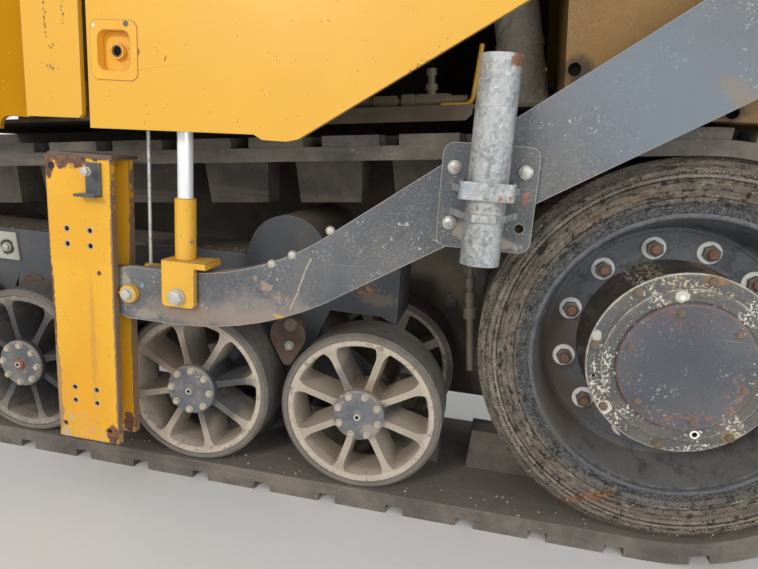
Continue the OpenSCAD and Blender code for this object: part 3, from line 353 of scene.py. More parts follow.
def wornPaint(name, look):
    material = startMaterial(name)
    tree = material.node_tree
    blotch = fade(tree, grain(tree, look.get("patch", 6), 5), 0.35, 0.68)
    color = mixed(tree, blotch, look["base"], look["shade"])
    streak = fade(tree, grain(tree, 9, 4, stretch=(1, 1, 0.08)), 0.52, 0.75)
    color = mixed(tree, times(tree, streak, look.get("streaks", 0.2)), color, look["grime"])
    rough = calc(tree, "ADD", times(tree, blotch, 0.12), look["rough"])
    height = times(tree, grain(tree, 60, 3), look.get("ripple", 0.15))
    color = layered(tree, look, color, underDust)
    blown = fade(tree, grain(tree, look.get("dustScale", 14), 6, 0.65), 0.35, 0.75)
    lying = fade(tree, upward(tree), 0.2, 0.9)
    dust = calc(tree, "ADD", times(tree, blown, look["dust"]), times(tree, lying, look["settled"]))
    color = mixed(tree, calc(tree, "MINIMUM", dust, 0.92), color, look["dustColor"])
    rough = calc(tree, "ADD", rough, times(tree, dust, 0.3))
    color = layered(tree, look, color, overDust)
    # edges rubbed to bare metal; on frame_black the pale edge line is also a painted highlight
    if look.get("edge"):
        near = rimmed(tree, look["edge"])
        ragged = calc(tree, "ADD", near, times(tree, grain(tree, 45, 6, 0.7), 1.1))
        worn = times(tree, fade(tree, ragged, 0.82, 0.98), fade(tree, near, 0.05, 0.35))
        color = mixed(tree, times(tree, worn, look.get("edgeWear", 1.0)), color, look["bare"])
        height = calc(tree, "SUBTRACT", height, times(tree, worn, 0.25))
    if look.get("rust"):
        eaten = 0.72 - 0.2 * look["rust"]
        hole = fade(tree, grain(tree, look.get("rustScale", 7), 8, 0.72), eaten, eaten + 0.02)
        color = mixed(tree, hole, color, rustColor(tree, look["rustDark"], look["rustPale"]))
        height = calc(tree, "SUBTRACT", height, times(tree, hole, 0.4))
        rough = calc(tree, "ADD", rough, times(tree, hole, 0.4))
    # marks are mostly stains, rust and chips; one on arm_grey is a painted reflection
    for mark in look.get("marks", []):
        area = patch(tree, mark)
        tint = mark["color"] if "color" in mark else rustColor(tree, rustDark, rustPale)
        color = mixed(tree, area, color, tint)
        height = calc(tree, "SUBTRACT", height, times(tree, area, 0.2))
        rough = calc(tree, "ADD", rough, times(tree, area, 0.25))
    metal, depth = look.get("metal", 0.0), look.get("depth", 0.0006)
    extra = {"Specular IOR Level": look.get("shine", 0.5)}
    return finishMaterial(material, color, rough, metal, height, depth, extra)


def rustColor(tree, dark, pale):
    return mixed(tree, fade(tree, grain(tree, 55, 5, 0.7), 0.3, 0.7), dark, pale)


rustDark, rustPale = (0.060, 0.027, 0.020), (0.230, 0.105, 0.058)

paints = {
    "yellow_panel": {
        "base": (0.800, 0.425, 0.036), "shade": (0.760, 0.395, 0.031), "grime": (0.66, 0.34, 0.05),
        "streaks": 0.14, "rough": 0.34, "patch": 2.2, "specks": 0.12, "speck": (0.30, 0.15, 0.04),
        "speckScale": 120, "dust": 0.05, "settled": 0.45, "dustColor": (0.70, 0.46, 0.17),
        "bare": (0.26, 0.20, 0.15), "edge": 0.003, "edgeWear": 0.55, "ripple": 0.04, "depth": 0.0004,
        "marks": [
            {"at": (-1076, 958), "size": (70, 0.7), "lean": 8, "ragged": 0.7,
             "color": (0.50, 0.28, 0.06), "amount": 0.6},
            {"at": (-1050, 976), "size": (1.2, 6), "lean": -24, "ragged": 0.6,
             "color": (0.12, 0.07, 0.03)},
            {"at": (-1106, 986), "size": (3, 6), "color": (0.30, 0.16, 0.06)},
            {"at": (-1297, 990), "size": (7, 5), "ragged": 2.0, "broken": 150,
             "color": (0.05, 0.03, 0.02)},
            {"at": (-1308, 1050), "size": (4, 50), "broken": 190, "color": (0.14, 0.07, 0.03)},
            {"at": (-1268, 1055), "size": (4, 30), "broken": 200, "color": (0.16, 0.08, 0.03)},
            {"at": (-1300, 950), "size": (11, 6), "broken": 200, "color": (0.22, 0.12, 0.04)},
            {"at": (-1226, 1010), "size": (5, 160), "ragged": 1.2, "color": (0.34, 0.17, 0.05),
             "amount": 0.7},
            {"at": (-560, 986), "size": (24, 5), "lean": 32.6, "broken": 160,
             "color": (0.30, 0.15, 0.05)},
        ],
    },
    # painted shade: the fender is the panels' yellow darkened to a deep orange, as it stands back in shade
    "fender_yellow_painted_shade": {
        "base": (0.520, 0.235, 0.000), "shade": (0.480, 0.210, 0.000), "grime": (0.44, 0.18, 0.000),
        "streaks": 0.3, "rough": 0.5, "patch": 3, "shine": 0.08, "specks": 0.2,
        "speck": (0.70, 0.40, 0.05), "speckScale": 100, "dust": 0.0, "settled": 0.1,
        "dustColor": (0.50, 0.30, 0.08), "bare": (0.26, 0.17, 0.10), "edge": 0.003,
    },
    # painted shade: the tank is yellow paint darkened to olive brown, as it lies in shade
    "tank_yellow_painted_shade": {
        "base": (0.240, 0.122, 0.016), "shade": (0.190, 0.098, 0.014), "grime": (0.11, 0.07, 0.025),
        "streaks": 0.3, "rough": 0.42, "patch": 5, "stipple": 0.6, "stippleScale": 300, "specks": 0.3,
        "speck": (0.10, 0.06, 0.03), "dust": 0.15, "settled": 0.5, "dustColor": (0.36, 0.22, 0.08),
        "bare": (0.20, 0.13, 0.08), "edge": 0.003,
        "marks": [
            {"at": (-285, 1004), "size": (26, 24), "ragged": 2.0, "soft": 0.5,
             "color": (0.07, 0.045, 0.025)},
            {"at": (-10, 944), "size": (24, 18), "ragged": 2.0, "soft": 0.5,
             "color": (0.07, 0.045, 0.025)},
        ],
    },
    "latch_yellow": {
        "base": (0.870, 0.450, 0.036), "shade": (0.80, 0.390, 0.028), "grime": (0.40, 0.22, 0.06),
        "streaks": 0.2, "rough": 0.36, "specks": 0.3, "speck": (0.20, 0.10, 0.04), "dust": 0.10,
        "settled": 0.35, "dustColor": (0.62, 0.40, 0.14), "bare": (0.16, 0.09, 0.05), "edge": 0.0022,
        "edgeWear": 0.9,
    },
    "yellow_post": {
        "base": (0.860, 0.455, 0.022), "shade": (0.80, 0.390, 0.016), "grime": (0.50, 0.25, 0.03),
        "streaks": 0.45, "rough": 0.36, "patch": 3.0, "specks": 0.45, "speck": (0.09, 0.045, 0.03),
        "dust": 0.10, "settled": 0.5, "dustColor": (0.50, 0.31, 0.12), "bare": (0.19, 0.115, 0.070),
        "edge": 0.006, "edgeWear": 0.9, "ripple": 0.08,
        "marks": [
            {"at": (-1283, 776), "size": (44, 26), "ragged": 2.6, "grain": 26},
            {"at": (-1222, 786), "size": (40, 12), "ragged": 2.4, "grain": 30},
            {"at": (-1328, 758), "size": (11, 26), "ragged": 2.4, "grain": 34},
            {"at": (-1337, 350), "size": (7, 240), "ragged": 2.2, "grain": 34},
            {"at": (-1335, 250), "size": (12, 120), "ragged": 2.6, "grain": 24,
             "color": (0.30, 0.20, 0.12)},
            {"at": (-1184, 420), "size": (5, 330), "ragged": 2.4, "grain": 34,
             "color": (0.24, 0.15, 0.09)},
            {"at": (-1262, 148), "size": (76, 24), "broken": 62, "color": (0.48, 0.38, 0.28)},
            {"at": (-1280, 190), "size": (50, 20), "broken": 80, "color": (0.50, 0.42, 0.30),
             "amount": 0.9},
            {"at": (-1200, 160), "size": (14, 24), "ragged": 2.8, "grain": 40},
            {"at": (-1219, 536), "size": (6, 5), "ragged": 2.2},
            {"at": (-1321, 756), "size": (8, 8), "ragged": 1.2, "color": (0.03, 0.02, 0.015)},
            {"at": (-1262, 300), "size": (60, 150), "soft": 0.7, "grain": 9,
             "color": (0.78, 0.34, 0.010), "amount": 0.6},
            {"at": (-1240, 380), "size": (7, 130), "soft": 0.5, "ragged": 2.0,
             "color": (0.40, 0.24, 0.07), "amount": 0.4},
        ],
    },
    "yellow_trim": {
        "base": (0.850, 0.470, 0.040), "shade": (0.79, 0.410, 0.034), "grime": (0.40, 0.22, 0.05),
        "streaks": 0.3, "rough": 0.38, "specks": 0.4, "speck": (0.14, 0.07, 0.03), "dust": 0.12,
        "settled": 0.3, "dustColor": (0.52, 0.34, 0.14), "bare": (0.10, 0.060, 0.040), "edge": 0.004,
        "edgeWear": 1.0,
    },
    "yellow_frame": {
        "base": (0.200, 0.110, 0.020), "shade": (0.150, 0.085, 0.018), "grime": (0.06, 0.04, 0.02),
        "streaks": 0.6, "rough": 0.5, "dust": 0.35, "settled": 0.6, "dustColor": (0.16, 0.115, 0.065),
        "bare": (0.10, 0.07, 0.05), "edge": 0.004,
    },
    "arm_grey": {
        "base": (0.080, 0.090, 0.104), "shade": (0.128, 0.136, 0.148), "grime": (0.19, 0.175, 0.16),
        "streaks": 0.35, "rough": 0.34, "patch": 3.5, "scratches": 0.6, "specks": 0.30,
        "speck": (0.46, 0.46, 0.44), "speckScale": 120, "dust": 0.22, "dustScale": 9, "settled": 0.75,
        "dustColor": (0.31, 0.265, 0.215), "bare": (0.46, 0.42, 0.37), "edge": 0.0045, "edgeWear": 0.9,
        "stipple": 0.5, "flakes": 0.30, "flakeScale": 170,
        "marks": [
            # painted reflection: a large soft paler, bluer patch on the arm's upper end stands for the sky
            # reflected in its gloss
            {"at": (-120, 950), "size": (330, 130), "soft": 0.9, "lean": -38, "grain": 6,
             "color": (0.175, 0.210, 0.250), "amount": 0.8},
            {"at": (-940, 468), "size": (150, 22), "soft": 0.7, "ragged": 3.0, "grain": 12,
             "color": (0.34, 0.25, 0.20), "amount": 0.75},
            {"at": (-1040, 470), "size": (70, 20), "soft": 0.7, "ragged": 3.0, "grain": 14,
             "color": (0.24, 0.18, 0.13), "amount": 0.7},
            {"at": (-850, 500), "size": (90, 34), "soft": 0.6, "ragged": 3.6, "grain": 22,
             "color": (0.30, 0.25, 0.22), "amount": 0.6},
            {"at": (-840, 540), "size": (60, 12), "soft": 0.4, "ragged": 3.8, "lean": -34, "grain": 50,
             "broken": 60, "color": (0.36, 0.26, 0.21), "amount": 0.8},
            {"at": (-590, 676), "size": (3, 16), "ragged": 2.4, "broken": 110, "lean": -18, "grain": 80,
             "color": (0.44, 0.40, 0.36)},
            {"at": (-602, 655), "size": (4, 11), "ragged": 2.4, "broken": 110, "lean": -50, "grain": 80,
             "color": (0.40, 0.40, 0.40)},
            {"at": (-622, 657), "size": (6, 10), "ragged": 3.6, "broken": 110, "lean": 35, "grain": 130,
             "color": (0.34, 0.24, 0.18)},
            {"at": (-632, 676), "size": (4, 8), "ragged": 2.4, "broken": 110, "lean": 35, "grain": 80,
             "color": (0.36, 0.37, 0.38)},
            {"at": (-575, 700), "size": (12, 4), "ragged": 2.6, "broken": 110, "grain": 80,
             "color": (0.45, 0.42, 0.38)},
            {"at": (-655, 640), "size": (12, 5), "ragged": 3.0, "broken": 110, "lean": 60, "grain": 80,
             "color": (0.28, 0.21, 0.17)},
            {"at": (-1131, 515), "size": (4, 5), "ragged": 1.5, "color": (0.16, 0.30, 0.46)},
            {"at": (-810, 481), "size": (18, 4), "ragged": 2.4, "lean": -12, "color": (0.50, 0.33, 0.10)},
            {"at": (-1170, 515), "size": (12, 34), "ragged": 3.4, "grain": 60, "soft": 0.3,
             "color": (0.36, 0.32, 0.27)},
            {"at": (-1120, 452), "size": (30, 12), "ragged": 3.4, "grain": 60, "soft": 0.3,
             "color": (0.28, 0.24, 0.20)},
            {"at": (-20, 960), "size": (40, 18), "ragged": 2.6, "soft": 0.6, "lean": -38, "grain": 20,
             "color": (0.27, 0.215, 0.17), "amount": 0.7},
            {"at": (-455, 700), "size": (22, 18), "ragged": 3.4, "grain": 60, "soft": 0.3,
             "color": (0.34, 0.30, 0.25)},
            {"at": (-352, 772), "size": (5, 15), "ragged": 1.6, "broken": 120,
             "color": (0.42, 0.13, 0.10)},
            {"at": (-385, 680), "size": (30, 10), "ragged": 3.4, "grain": 60, "soft": 0.3,
             "color": (0.34, 0.30, 0.25)},
        ],
    },
    # the pale rubbed edges are partly real wear and partly a painted highlight along the edges
    "frame_black": {
        "base": (0.056, 0.066, 0.084), "shade": (0.080, 0.086, 0.098), "grime": (0.14, 0.115, 0.088),
        "streaks": 0.4, "rough": 0.5, "dust": 0.34, "settled": 0.80, "dustColor": (0.185, 0.148, 0.108),
        "bare": (0.20, 0.18, 0.16), "edge": 0.004, "edgeWear": 0.7, "rust": 0.30, "rustDark": rustDark,
        "rustPale": rustPale,
        "marks": [
            {"at": (-684, 506), "size": (40, 16), "ragged": 2.6, "grain": 34, "soft": 0.3, "broken": 70,
             "color": (0.42, 0.20, 0.08)},
            {"at": (-655, 480), "size": (46, 14), "ragged": 3.0, "grain": 34, "soft": 0.5,
             "color": (0.26, 0.20, 0.14), "amount": 0.6},
        ],
    },
    "shade_brown": {
        "base": (0.085, 0.072, 0.058), "shade": (0.135, 0.112, 0.088), "grime": (0.05, 0.042, 0.034),
        "streaks": 0.5, "rough": 0.7, "patch": 7, "dust": 0.4, "settled": 0.6,
        "dustColor": (0.19, 0.152, 0.112), "bare": (0.20, 0.16, 0.12), "edge": 0.003, "rust": 0.3,
        "rustDark": rustDark, "rustPale": rustPale,
    },
    "dark_steel": {
        "base": (0.078, 0.090, 0.108), "shade": (0.098, 0.108, 0.124), "grime": (0.13, 0.11, 0.09),
        "streaks": 0.15, "rough": 0.46, "dust": 0.24, "settled": 0.45,
        "dustColor": (0.23, 0.205, 0.175), "bare": (0.34, 0.30, 0.25), "stipple": 0.5,
        "sweep": (0.024, 0.025, 0.028),
        "marks": [
            {"at": (-235, 410), "size": (46, 110), "ragged": 1.8, "soft": 0.5, "grain": 9,
             "color": (0.100, 0.078, 0.062), "amount": 0.9},
            {"at": (-190, 300), "size": (60, 60), "ragged": 1.8, "soft": 0.5, "grain": 9,
             "color": (0.100, 0.078, 0.062), "amount": 0.8},
        ],
        "rings": [
            {"radius": 250, "width": 1.3, "color": (0.010, 0.010, 0.012), "amount": 0.95, "gaps": 0.1},
            {"radius": 290, "width": 7.0, "color": (0.030, 0.031, 0.034), "amount": 0.8, "gaps": 0.2},
        ],
    },
    "hub_paint": {
        "base": (0.072, 0.074, 0.080), "shade": (0.105, 0.102, 0.100), "grime": (0.20, 0.16, 0.11),
        "streaks": 0.35, "rough": 0.44, "specks": 0.6, "speck": (0.62, 0.58, 0.50), "speckScale": 150,
        "speckSize": 0.24, "dust": 0.30, "settled": 0.0, "dustColor": (0.25, 0.20, 0.145),
        "bare": (0.62, 0.57, 0.48), "edge": 0.003, "barrel": (0.024, 0.022, 0.022),
        "barrelPale": (0.090, 0.068, 0.050), "edgeWear": 0.8, "rust": 0.42, "rustScale": 11,
        "rustDark": (0.080, 0.050, 0.036), "rustPale": (0.22, 0.14, 0.080), "stipple": 0.5,
        "scratches": 0.6, "flakes": 0.5, "flakeScale": 150,
        "rings": [
            {"radius": 186, "width": 2.2, "color": (0.62, 0.57, 0.48), "amount": 1.0, "gaps": 0.36},
            {"radius": 157, "width": 1.4, "color": (0.60, 0.56, 0.50), "amount": 1.0, "gaps": 0.40},
            {"radius": 133, "width": 2.2, "color": (0.015, 0.013, 0.012), "amount": 0.8, "gaps": 0.30},
        ],
        "halos": [{"radius": 177, "count": 8, "phase": 83, "size": 7, "color": (0.17, 0.125, 0.085)}],
        "marks": [
            {"at": (-137, 349), "size": (17, 15), "ragged": 1.8, "color": (0.66, 0.62, 0.54)},
            {"at": (25, 636), "size": (22, 10), "ragged": 1.8, "soft": 0.4, "color": (0.28, 0.17, 0.08)},
            {"at": (111, 322), "size": (15, 13), "ragged": 1.8, "soft": 0.3, "color": (0.34, 0.24, 0.10)},
            {"at": (-31, 601), "size": (13, 11), "ragged": 1.6, "color": (0.60, 0.56, 0.48)},
            {"at": (-172, 500), "size": (8, 12), "ragged": 2.2, "color": (0.60, 0.56, 0.48),
             "amount": 0.8},
            {"at": (50, 287), "size": (60, 9), "lean": 14, "broken": 170, "color": (0.70, 0.66, 0.58)},
            {"at": (-35, 625), "size": (90, 12), "lean": -8, "broken": 150, "color": (0.52, 0.44, 0.30)},
            {"at": (115, 590), "size": (50, 26), "lean": 45, "broken": 170, "color": (0.66, 0.62, 0.54)},
            {"at": (-155, 400), "size": (20, 90), "broken": 165, "color": (0.66, 0.62, 0.54)},
            {"at": (-110, 330), "size": (60, 14), "lean": 50, "broken": 165, "color": (0.66, 0.62, 0.54)},
            {"at": (120, 340), "size": (50, 16), "lean": -50, "broken": 170, "color": (0.60, 0.54, 0.44)},
            {"at": (-90, 600), "size": (60, 14), "lean": -40, "broken": 160, "color": (0.60, 0.55, 0.46)},
        ],
    },
    "cover_worn": {
        "base": (0.072, 0.080, 0.096), "shade": (0.115, 0.118, 0.128), "grime": (0.20, 0.155, 0.13),
        "streaks": 0.25, "rough": 0.38, "scratches": 1.0, "scratchScale": 150, "specks": 0.9,
        "speck": (0.46, 0.40, 0.38), "speckScale": 190, "dust": 0.18, "settled": 0.2,
        "dustColor": (0.22, 0.175, 0.15), "bare": (0.36, 0.30, 0.27), "edge": 0.003, "rust": 0.22,
        "rustScale": 20, "rustDark": (0.14, 0.065, 0.050), "rustPale": (0.28, 0.14, 0.10),
        "stipple": 0.3, "flakes": 0.4, "flakeScale": 160,
        "rings": [
            {"radius": 128, "width": 2.6, "color": (0.30, 0.145, 0.085), "amount": 0.9, "gaps": 0.34},
            {"radius": 112, "width": 9.0, "color": (0.17, 0.095, 0.080), "amount": 0.7, "gaps": 0.52},
        ],
        "halos": [{"radius": 113, "count": 6, "phase": 45, "size": 6, "color": (0.035, 0.028, 0.028)}],
        "marks": [
            {"at": (-40, 556), "size": (60, 18), "lean": -16, "broken": 120,
             "color": (0.30, 0.13, 0.105)},
            {"at": (10, 356), "size": (90, 16), "broken": 130, "color": (0.27, 0.15, 0.11)},
            {"at": (95, 400), "size": (16, 60), "broken": 130, "color": (0.27, 0.16, 0.12)},
            {"at": (-20, 480), "size": (90, 110), "soft": 0.9, "grain": 8,
             "color": (0.060, 0.070, 0.090), "amount": 0.7},
        ],
    },
    # painted sheen: the base grey is raised above the caps' own dark grey to stand for their glossy sheen
    "cap_grey": {
        "base": (0.125, 0.138, 0.158), "shade": (0.080, 0.084, 0.094), "grime": (0.30, 0.25, 0.19),
        "streaks": 0.3, "rough": 0.42, "specks": 0.6, "speck": (0.46, 0.40, 0.32), "speckScale": 230,
        "dust": 0.50, "dustScale": 30, "settled": 0.4, "dustColor": (0.34, 0.30, 0.25),
        "bare": (0.50, 0.44, 0.36), "edge": 0.003, "rust": 0.32, "rustScale": 30,
        "rustDark": (0.12, 0.055, 0.035), "rustPale": (0.27, 0.14, 0.075), "flakes": 0.3,
        "flakeScale": 130,
        "marks": [
            {"at": (-1540, 242), "size": (16, 16), "ragged": 2.2, "grain": 60, "soft": 0.3,
             "color": (0.24, 0.105, 0.06)},
            {"at": (-625, 210), "size": (20, 16), "ragged": 3.0, "grain": 60, "soft": 0.3,
             "color": (0.36, 0.30, 0.24), "amount": 0.8},
        ],
    },
    "dusty_casting": {
        "base": (0.370, 0.315, 0.250), "shade": (0.470, 0.410, 0.335), "grime": (0.16, 0.13, 0.10),
        "streaks": 0.35, "rough": 0.74, "patch": 11, "specks": 0.5, "speck": (0.13, 0.10, 0.08),
        "dust": 0.45, "settled": 0.55, "dustColor": (0.46, 0.385, 0.295), "bare": (0.58, 0.50, 0.41),
        "edge": 0.004, "edgeWear": 0.8, "ripple": 0.7, "shine": 0.2, "stipple": 0.4,
        "rim": (0.56, 0.48, 0.395), "rimGap": (0.012, 0.011, 0.010), "rimSpot": (0.20, 0.145, 0.105),
        "marks": [
            {"at": (-1000, 262), "size": (80, 40), "ragged": 1.3, "soft": 0.4, "grain": 16,
             "color": (0.045, 0.052, 0.064), "amount": 0.9},
            {"at": (-1080, 180), "size": (60, 50), "ragged": 1.4, "soft": 0.6, "grain": 15,
             "color": (0.11, 0.10, 0.095), "amount": 0.6},
            {"at": (-1005, 190), "size": (52, 40), "ragged": 1.3, "soft": 0.4, "grain": 16,
             "color": (0.072, 0.075, 0.085), "amount": 0.8},
            {"at": (-1060, 330), "size": (46, 40), "ragged": 1.4, "soft": 0.4, "grain": 16,
             "color": (0.080, 0.078, 0.080), "amount": 0.7},
            {"at": (-1150, 300), "size": (60, 46), "ragged": 2.8, "soft": 0.6, "grain": 14,
             "color": (0.17, 0.095, 0.058), "amount": 0.6},
            {"at": (-1530, 250), "size": (185, 175), "ragged": 0.9, "soft": 0.5, "grain": 13,
             "color": (0.030, 0.034, 0.043), "amount": 0.9},
            {"at": (-590, 252), "size": (50, 20), "ragged": 1.4, "soft": 0.4, "grain": 22,
             "color": (0.085, 0.092, 0.105), "amount": 0.8},
            {"at": (-700, 320), "size": (26, 34), "ragged": 1.6, "soft": 0.4, "grain": 22,
             "color": (0.12, 0.11, 0.105), "amount": 0.7},
            {"at": (-640, 300), "size": (44, 26), "ragged": 2.8, "soft": 0.5, "grain": 22,
             "color": (0.21, 0.150, 0.10), "amount": 0.6},
        ],
    },
    "rusty_steel": {
        "base": (0.105, 0.066, 0.052), "shade": (0.155, 0.105, 0.084), "grime": (0.07, 0.05, 0.045),
        "streaks": 0.4, "rough": 0.66, "patch": 14, "dust": 0.3, "settled": 0.5,
        "dustColor": (0.25, 0.19, 0.14), "bare": (0.24, 0.17, 0.14), "edge": 0.003, "rust": 0.5,
        "rustScale": 22, "rustDark": rustDark, "rustPale": rustPale, "ripple": 0.8, "shine": 0.3,
    },
    "deck_steel": {
        "base": (0.075, 0.060, 0.045), "shade": (0.120, 0.095, 0.068), "grime": (0.035, 0.029, 0.024),
        "streaks": 0.4, "rough": 0.75, "dust": 0.5, "settled": 0.7, "dustColor": (0.180, 0.140, 0.100),
        "bare": (0.15, 0.12, 0.09), "shine": 0.15,
    },
    # painted shade: the inner wall is near black so that the hollow behind the guide blocks reads as shade
    "inner_wall_painted_shade": {
        "base": (0.020, 0.017, 0.014), "shade": (0.034, 0.028, 0.022), "grime": (0.012, 0.010, 0.009),
        "streaks": 0.4, "rough": 0.8, "dust": 0.4, "settled": 0.7, "dustColor": (0.060, 0.048, 0.036),
        "bare": (0.15, 0.12, 0.09), "shine": 0.1,
    },
    "bare_steel": {
        "base": (0.24, 0.20, 0.155), "shade": (0.16, 0.13, 0.10), "grime": (0.13, 0.085, 0.06),
        "streaks": 0.5, "rough": 0.5, "metal": 0.3, "dust": 0.40, "settled": 0.6,
        "dustColor": (0.25, 0.195, 0.14), "bare": (0.42, 0.38, 0.33), "edge": 0.002, "rust": 0.4,
        "rustScale": 18, "rustDark": rustDark, "rustPale": rustPale,
    },
    "brass_fitting": {
        "base": (0.260, 0.200, 0.125), "shade": (0.170, 0.135, 0.095), "grime": (0.07, 0.055, 0.04),
        "streaks": 0.5, "rough": 0.5, "metal": 0.3, "dust": 0.5, "settled": 0.6,
        "dustColor": (0.34, 0.27, 0.19), "bare": (0.48, 0.38, 0.22), "edge": 0.002,
    },
    "pale_paint": {
        "base": (0.500, 0.500, 0.430), "shade": (0.400, 0.395, 0.335), "grime": (0.20, 0.16, 0.12),
        "streaks": 0.5, "rough": 0.5, "dust": 0.3, "settled": 0.5, "dustColor": (0.34, 0.28, 0.20),
        "bare": (0.22, 0.16, 0.10), "edge": 0.003,
        "marks": [
            {"at": (-1686, 508), "size": (21, 21), "ragged": 1.0, "grain": 60,
             "color": (0.05, 0.042, 0.038)},
        ],
    },
    "white_washer": {
        "base": (0.92, 0.92, 0.90), "shade": (0.84, 0.83, 0.80), "grime": (0.40, 0.32, 0.24),
        "streaks": 0.2, "rough": 0.5, "patch": 30, "specks": 0.5, "speck": (0.14, 0.10, 0.08),
        "speckScale": 260, "dust": 0.06, "dustScale": 40, "settled": 0.1,
        "dustColor": (0.50, 0.42, 0.32), "bare": (0.16, 0.12, 0.10),
    },
    "nut_dark": {
        "base": (0.080, 0.074, 0.070), "shade": (0.125, 0.108, 0.092), "grime": (0.22, 0.13, 0.08),
        "streaks": 0.4, "rough": 0.5, "patch": 40, "dust": 0.40, "dustScale": 50, "settled": 0.4,
        "dustColor": (0.28, 0.22, 0.16), "bare": (0.42, 0.37, 0.31), "edge": 0.0022, "rust": 0.3,
        "rustScale": 40, "rustDark": (0.10, 0.050, 0.034), "rustPale": (0.25, 0.125, 0.07),
    },
    "dusty_bolt": {
        "base": (0.50, 0.44, 0.35), "shade": (0.38, 0.33, 0.26), "grime": (0.14, 0.10, 0.07),
        "streaks": 0.4, "rough": 0.6, "patch": 50, "dust": 0.4, "dustScale": 60, "settled": 0.4,
        "dustColor": (0.50, 0.43, 0.33), "bare": (0.60, 0.54, 0.45), "edge": 0.0016, "rust": 0.2,
        "rustScale": 50, "rustDark": (0.14, 0.07, 0.04), "rustPale": (0.30, 0.17, 0.10), "shine": 0.3,
    },
    "rusty_bolt": {
        "base": (0.155, 0.078, 0.056), "shade": (0.230, 0.125, 0.090), "grime": (0.06, 0.035, 0.03),
        "streaks": 0.4, "rough": 0.62, "patch": 45, "dust": 0.3, "dustScale": 60, "settled": 0.3,
        "dustColor": (0.26, 0.175, 0.125), "bare": (0.34, 0.22, 0.16), "edge": 0.0016, "shine": 0.3,
    },
    "hub_bolt": {
        "base": (0.130, 0.095, 0.072), "shade": (0.200, 0.140, 0.100), "grime": (0.05, 0.035, 0.03),
        "streaks": 0.5, "rough": 0.6, "patch": 60, "dust": 0.35, "dustScale": 70, "settled": 0.3,
        "dustColor": (0.28, 0.21, 0.15), "bare": (0.36, 0.27, 0.20), "edge": 0.0012, "shine": 0.3,
    },
    "pale_bolt": {
        "base": (0.56, 0.55, 0.50), "shade": (0.42, 0.40, 0.34), "grime": (0.22, 0.15, 0.09),
        "streaks": 0.4, "rough": 0.46, "patch": 40, "metal": 0.25, "dust": 0.30, "dustScale": 50,
        "settled": 0.4, "dustColor": (0.46, 0.39, 0.30), "bare": (0.74, 0.72, 0.66), "edge": 0.0016,
    },
    # painted shade: a near-black finish for discs set into sockets, keyholes and hole bottoms, standing
    # for the shade inside them
    "painted_shade_black": {
        "base": (0.006, 0.006, 0.006), "shade": (0.010, 0.009, 0.008), "grime": (0.02, 0.016, 0.012),
        "rough": 0.8, "dust": 0.1, "settled": 0.1, "dustColor": (0.05, 0.04, 0.03), "shine": 0.1,
    },
    "grit": {
        "base": (0.36, 0.30, 0.23), "shade": (0.22, 0.185, 0.145), "grime": (0.13, 0.11, 0.09),
        "rough": 0.85, "patch": 90, "dust": 0.5, "dustScale": 90, "settled": 0.4,
        "dustColor": (0.46, 0.39, 0.305), "shine": 0.15,
    },
    "soil": {
        "base": (0.110, 0.088, 0.066), "shade": (0.180, 0.145, 0.108), "grime": (0.06, 0.05, 0.04),
        "rough": 0.9, "patch": 60, "dust": 0.4, "dustScale": 80, "settled": 0.4,
        "dustColor": (0.24, 0.195, 0.15), "shine": 0.1,
    },
    "hose_black": {
        "base": (0.024, 0.024, 0.025), "shade": (0.040, 0.037, 0.034), "grime": (0.08, 0.065, 0.05),
        "rough": 0.55, "dust": 0.3, "settled": 0.5, "dustColor": (0.15, 0.12, 0.09), "shine": 0.3,
    },
    "duct_grey": {
        "base": (0.34, 0.29, 0.24), "shade": (0.46, 0.41, 0.35), "grime": (0.12, 0.10, 0.08),
        "streaks": 0.6, "rough": 0.6, "patch": 16, "dust": 0.35, "settled": 0.6,
        "dustColor": (0.40, 0.34, 0.28), "bare": (0.50, 0.45, 0.38), "edge": 0.003, "ripple": 2.5,
        "depth": 0.004,
    },
}

# the idler's steel has no wear round the drive axle
driveOnly = ("sweep", "rings", "marks")
steel = paints["dark_steel"].items()
paints["idler_steel"] = {key: value for key, value in steel if key not in driveOnly}

# the finishes that aren't paint

driveRubber = {
    "dark": (0.090, 0.080, 0.070),
    "worn": (0.195, 0.168, 0.138),
    "dust": (0.350, 0.300, 0.240),
    "brown": (0.200, 0.135, 0.088),
    "black": (0.022, 0.019, 0.017),
    "crumb": (0.46, 0.385, 0.30),
    "rust": (0.24, 0.120, 0.068),
    "inner": (0.060, 0.064, 0.070),
    "stipple": (0.155, 0.148, 0.138),
    "ridge": 0.372,
    "streak": {
        "at": (-150, 122), "size": (80, 9), "lean": 24, "ragged": 3.0, "grain": 40, "soft": 0.3,
        "color": (0.32, 0.15, 0.07),
    },
    # the dark lines are painted shade in the grooves of the tyre's moulded rings, and the pale one is a
    # painted highlight on the ridge between them
    "lines": [
        (0.3315, 0.0020, (0.022, 0.019, 0.017), 0.8), (0.3460, 0.0014, (0.030, 0.026, 0.022), 0.6),
        (0.3665, 0.0024, (0.022, 0.019, 0.017), 0.9), (0.3715, 0.0022, (0.36, 0.30, 0.235), 0.7),
        (0.3765, 0.0020, (0.022, 0.019, 0.017), 0.8), (0.3900, 0.0020, (0.030, 0.026, 0.022), 0.6),
    ],
}


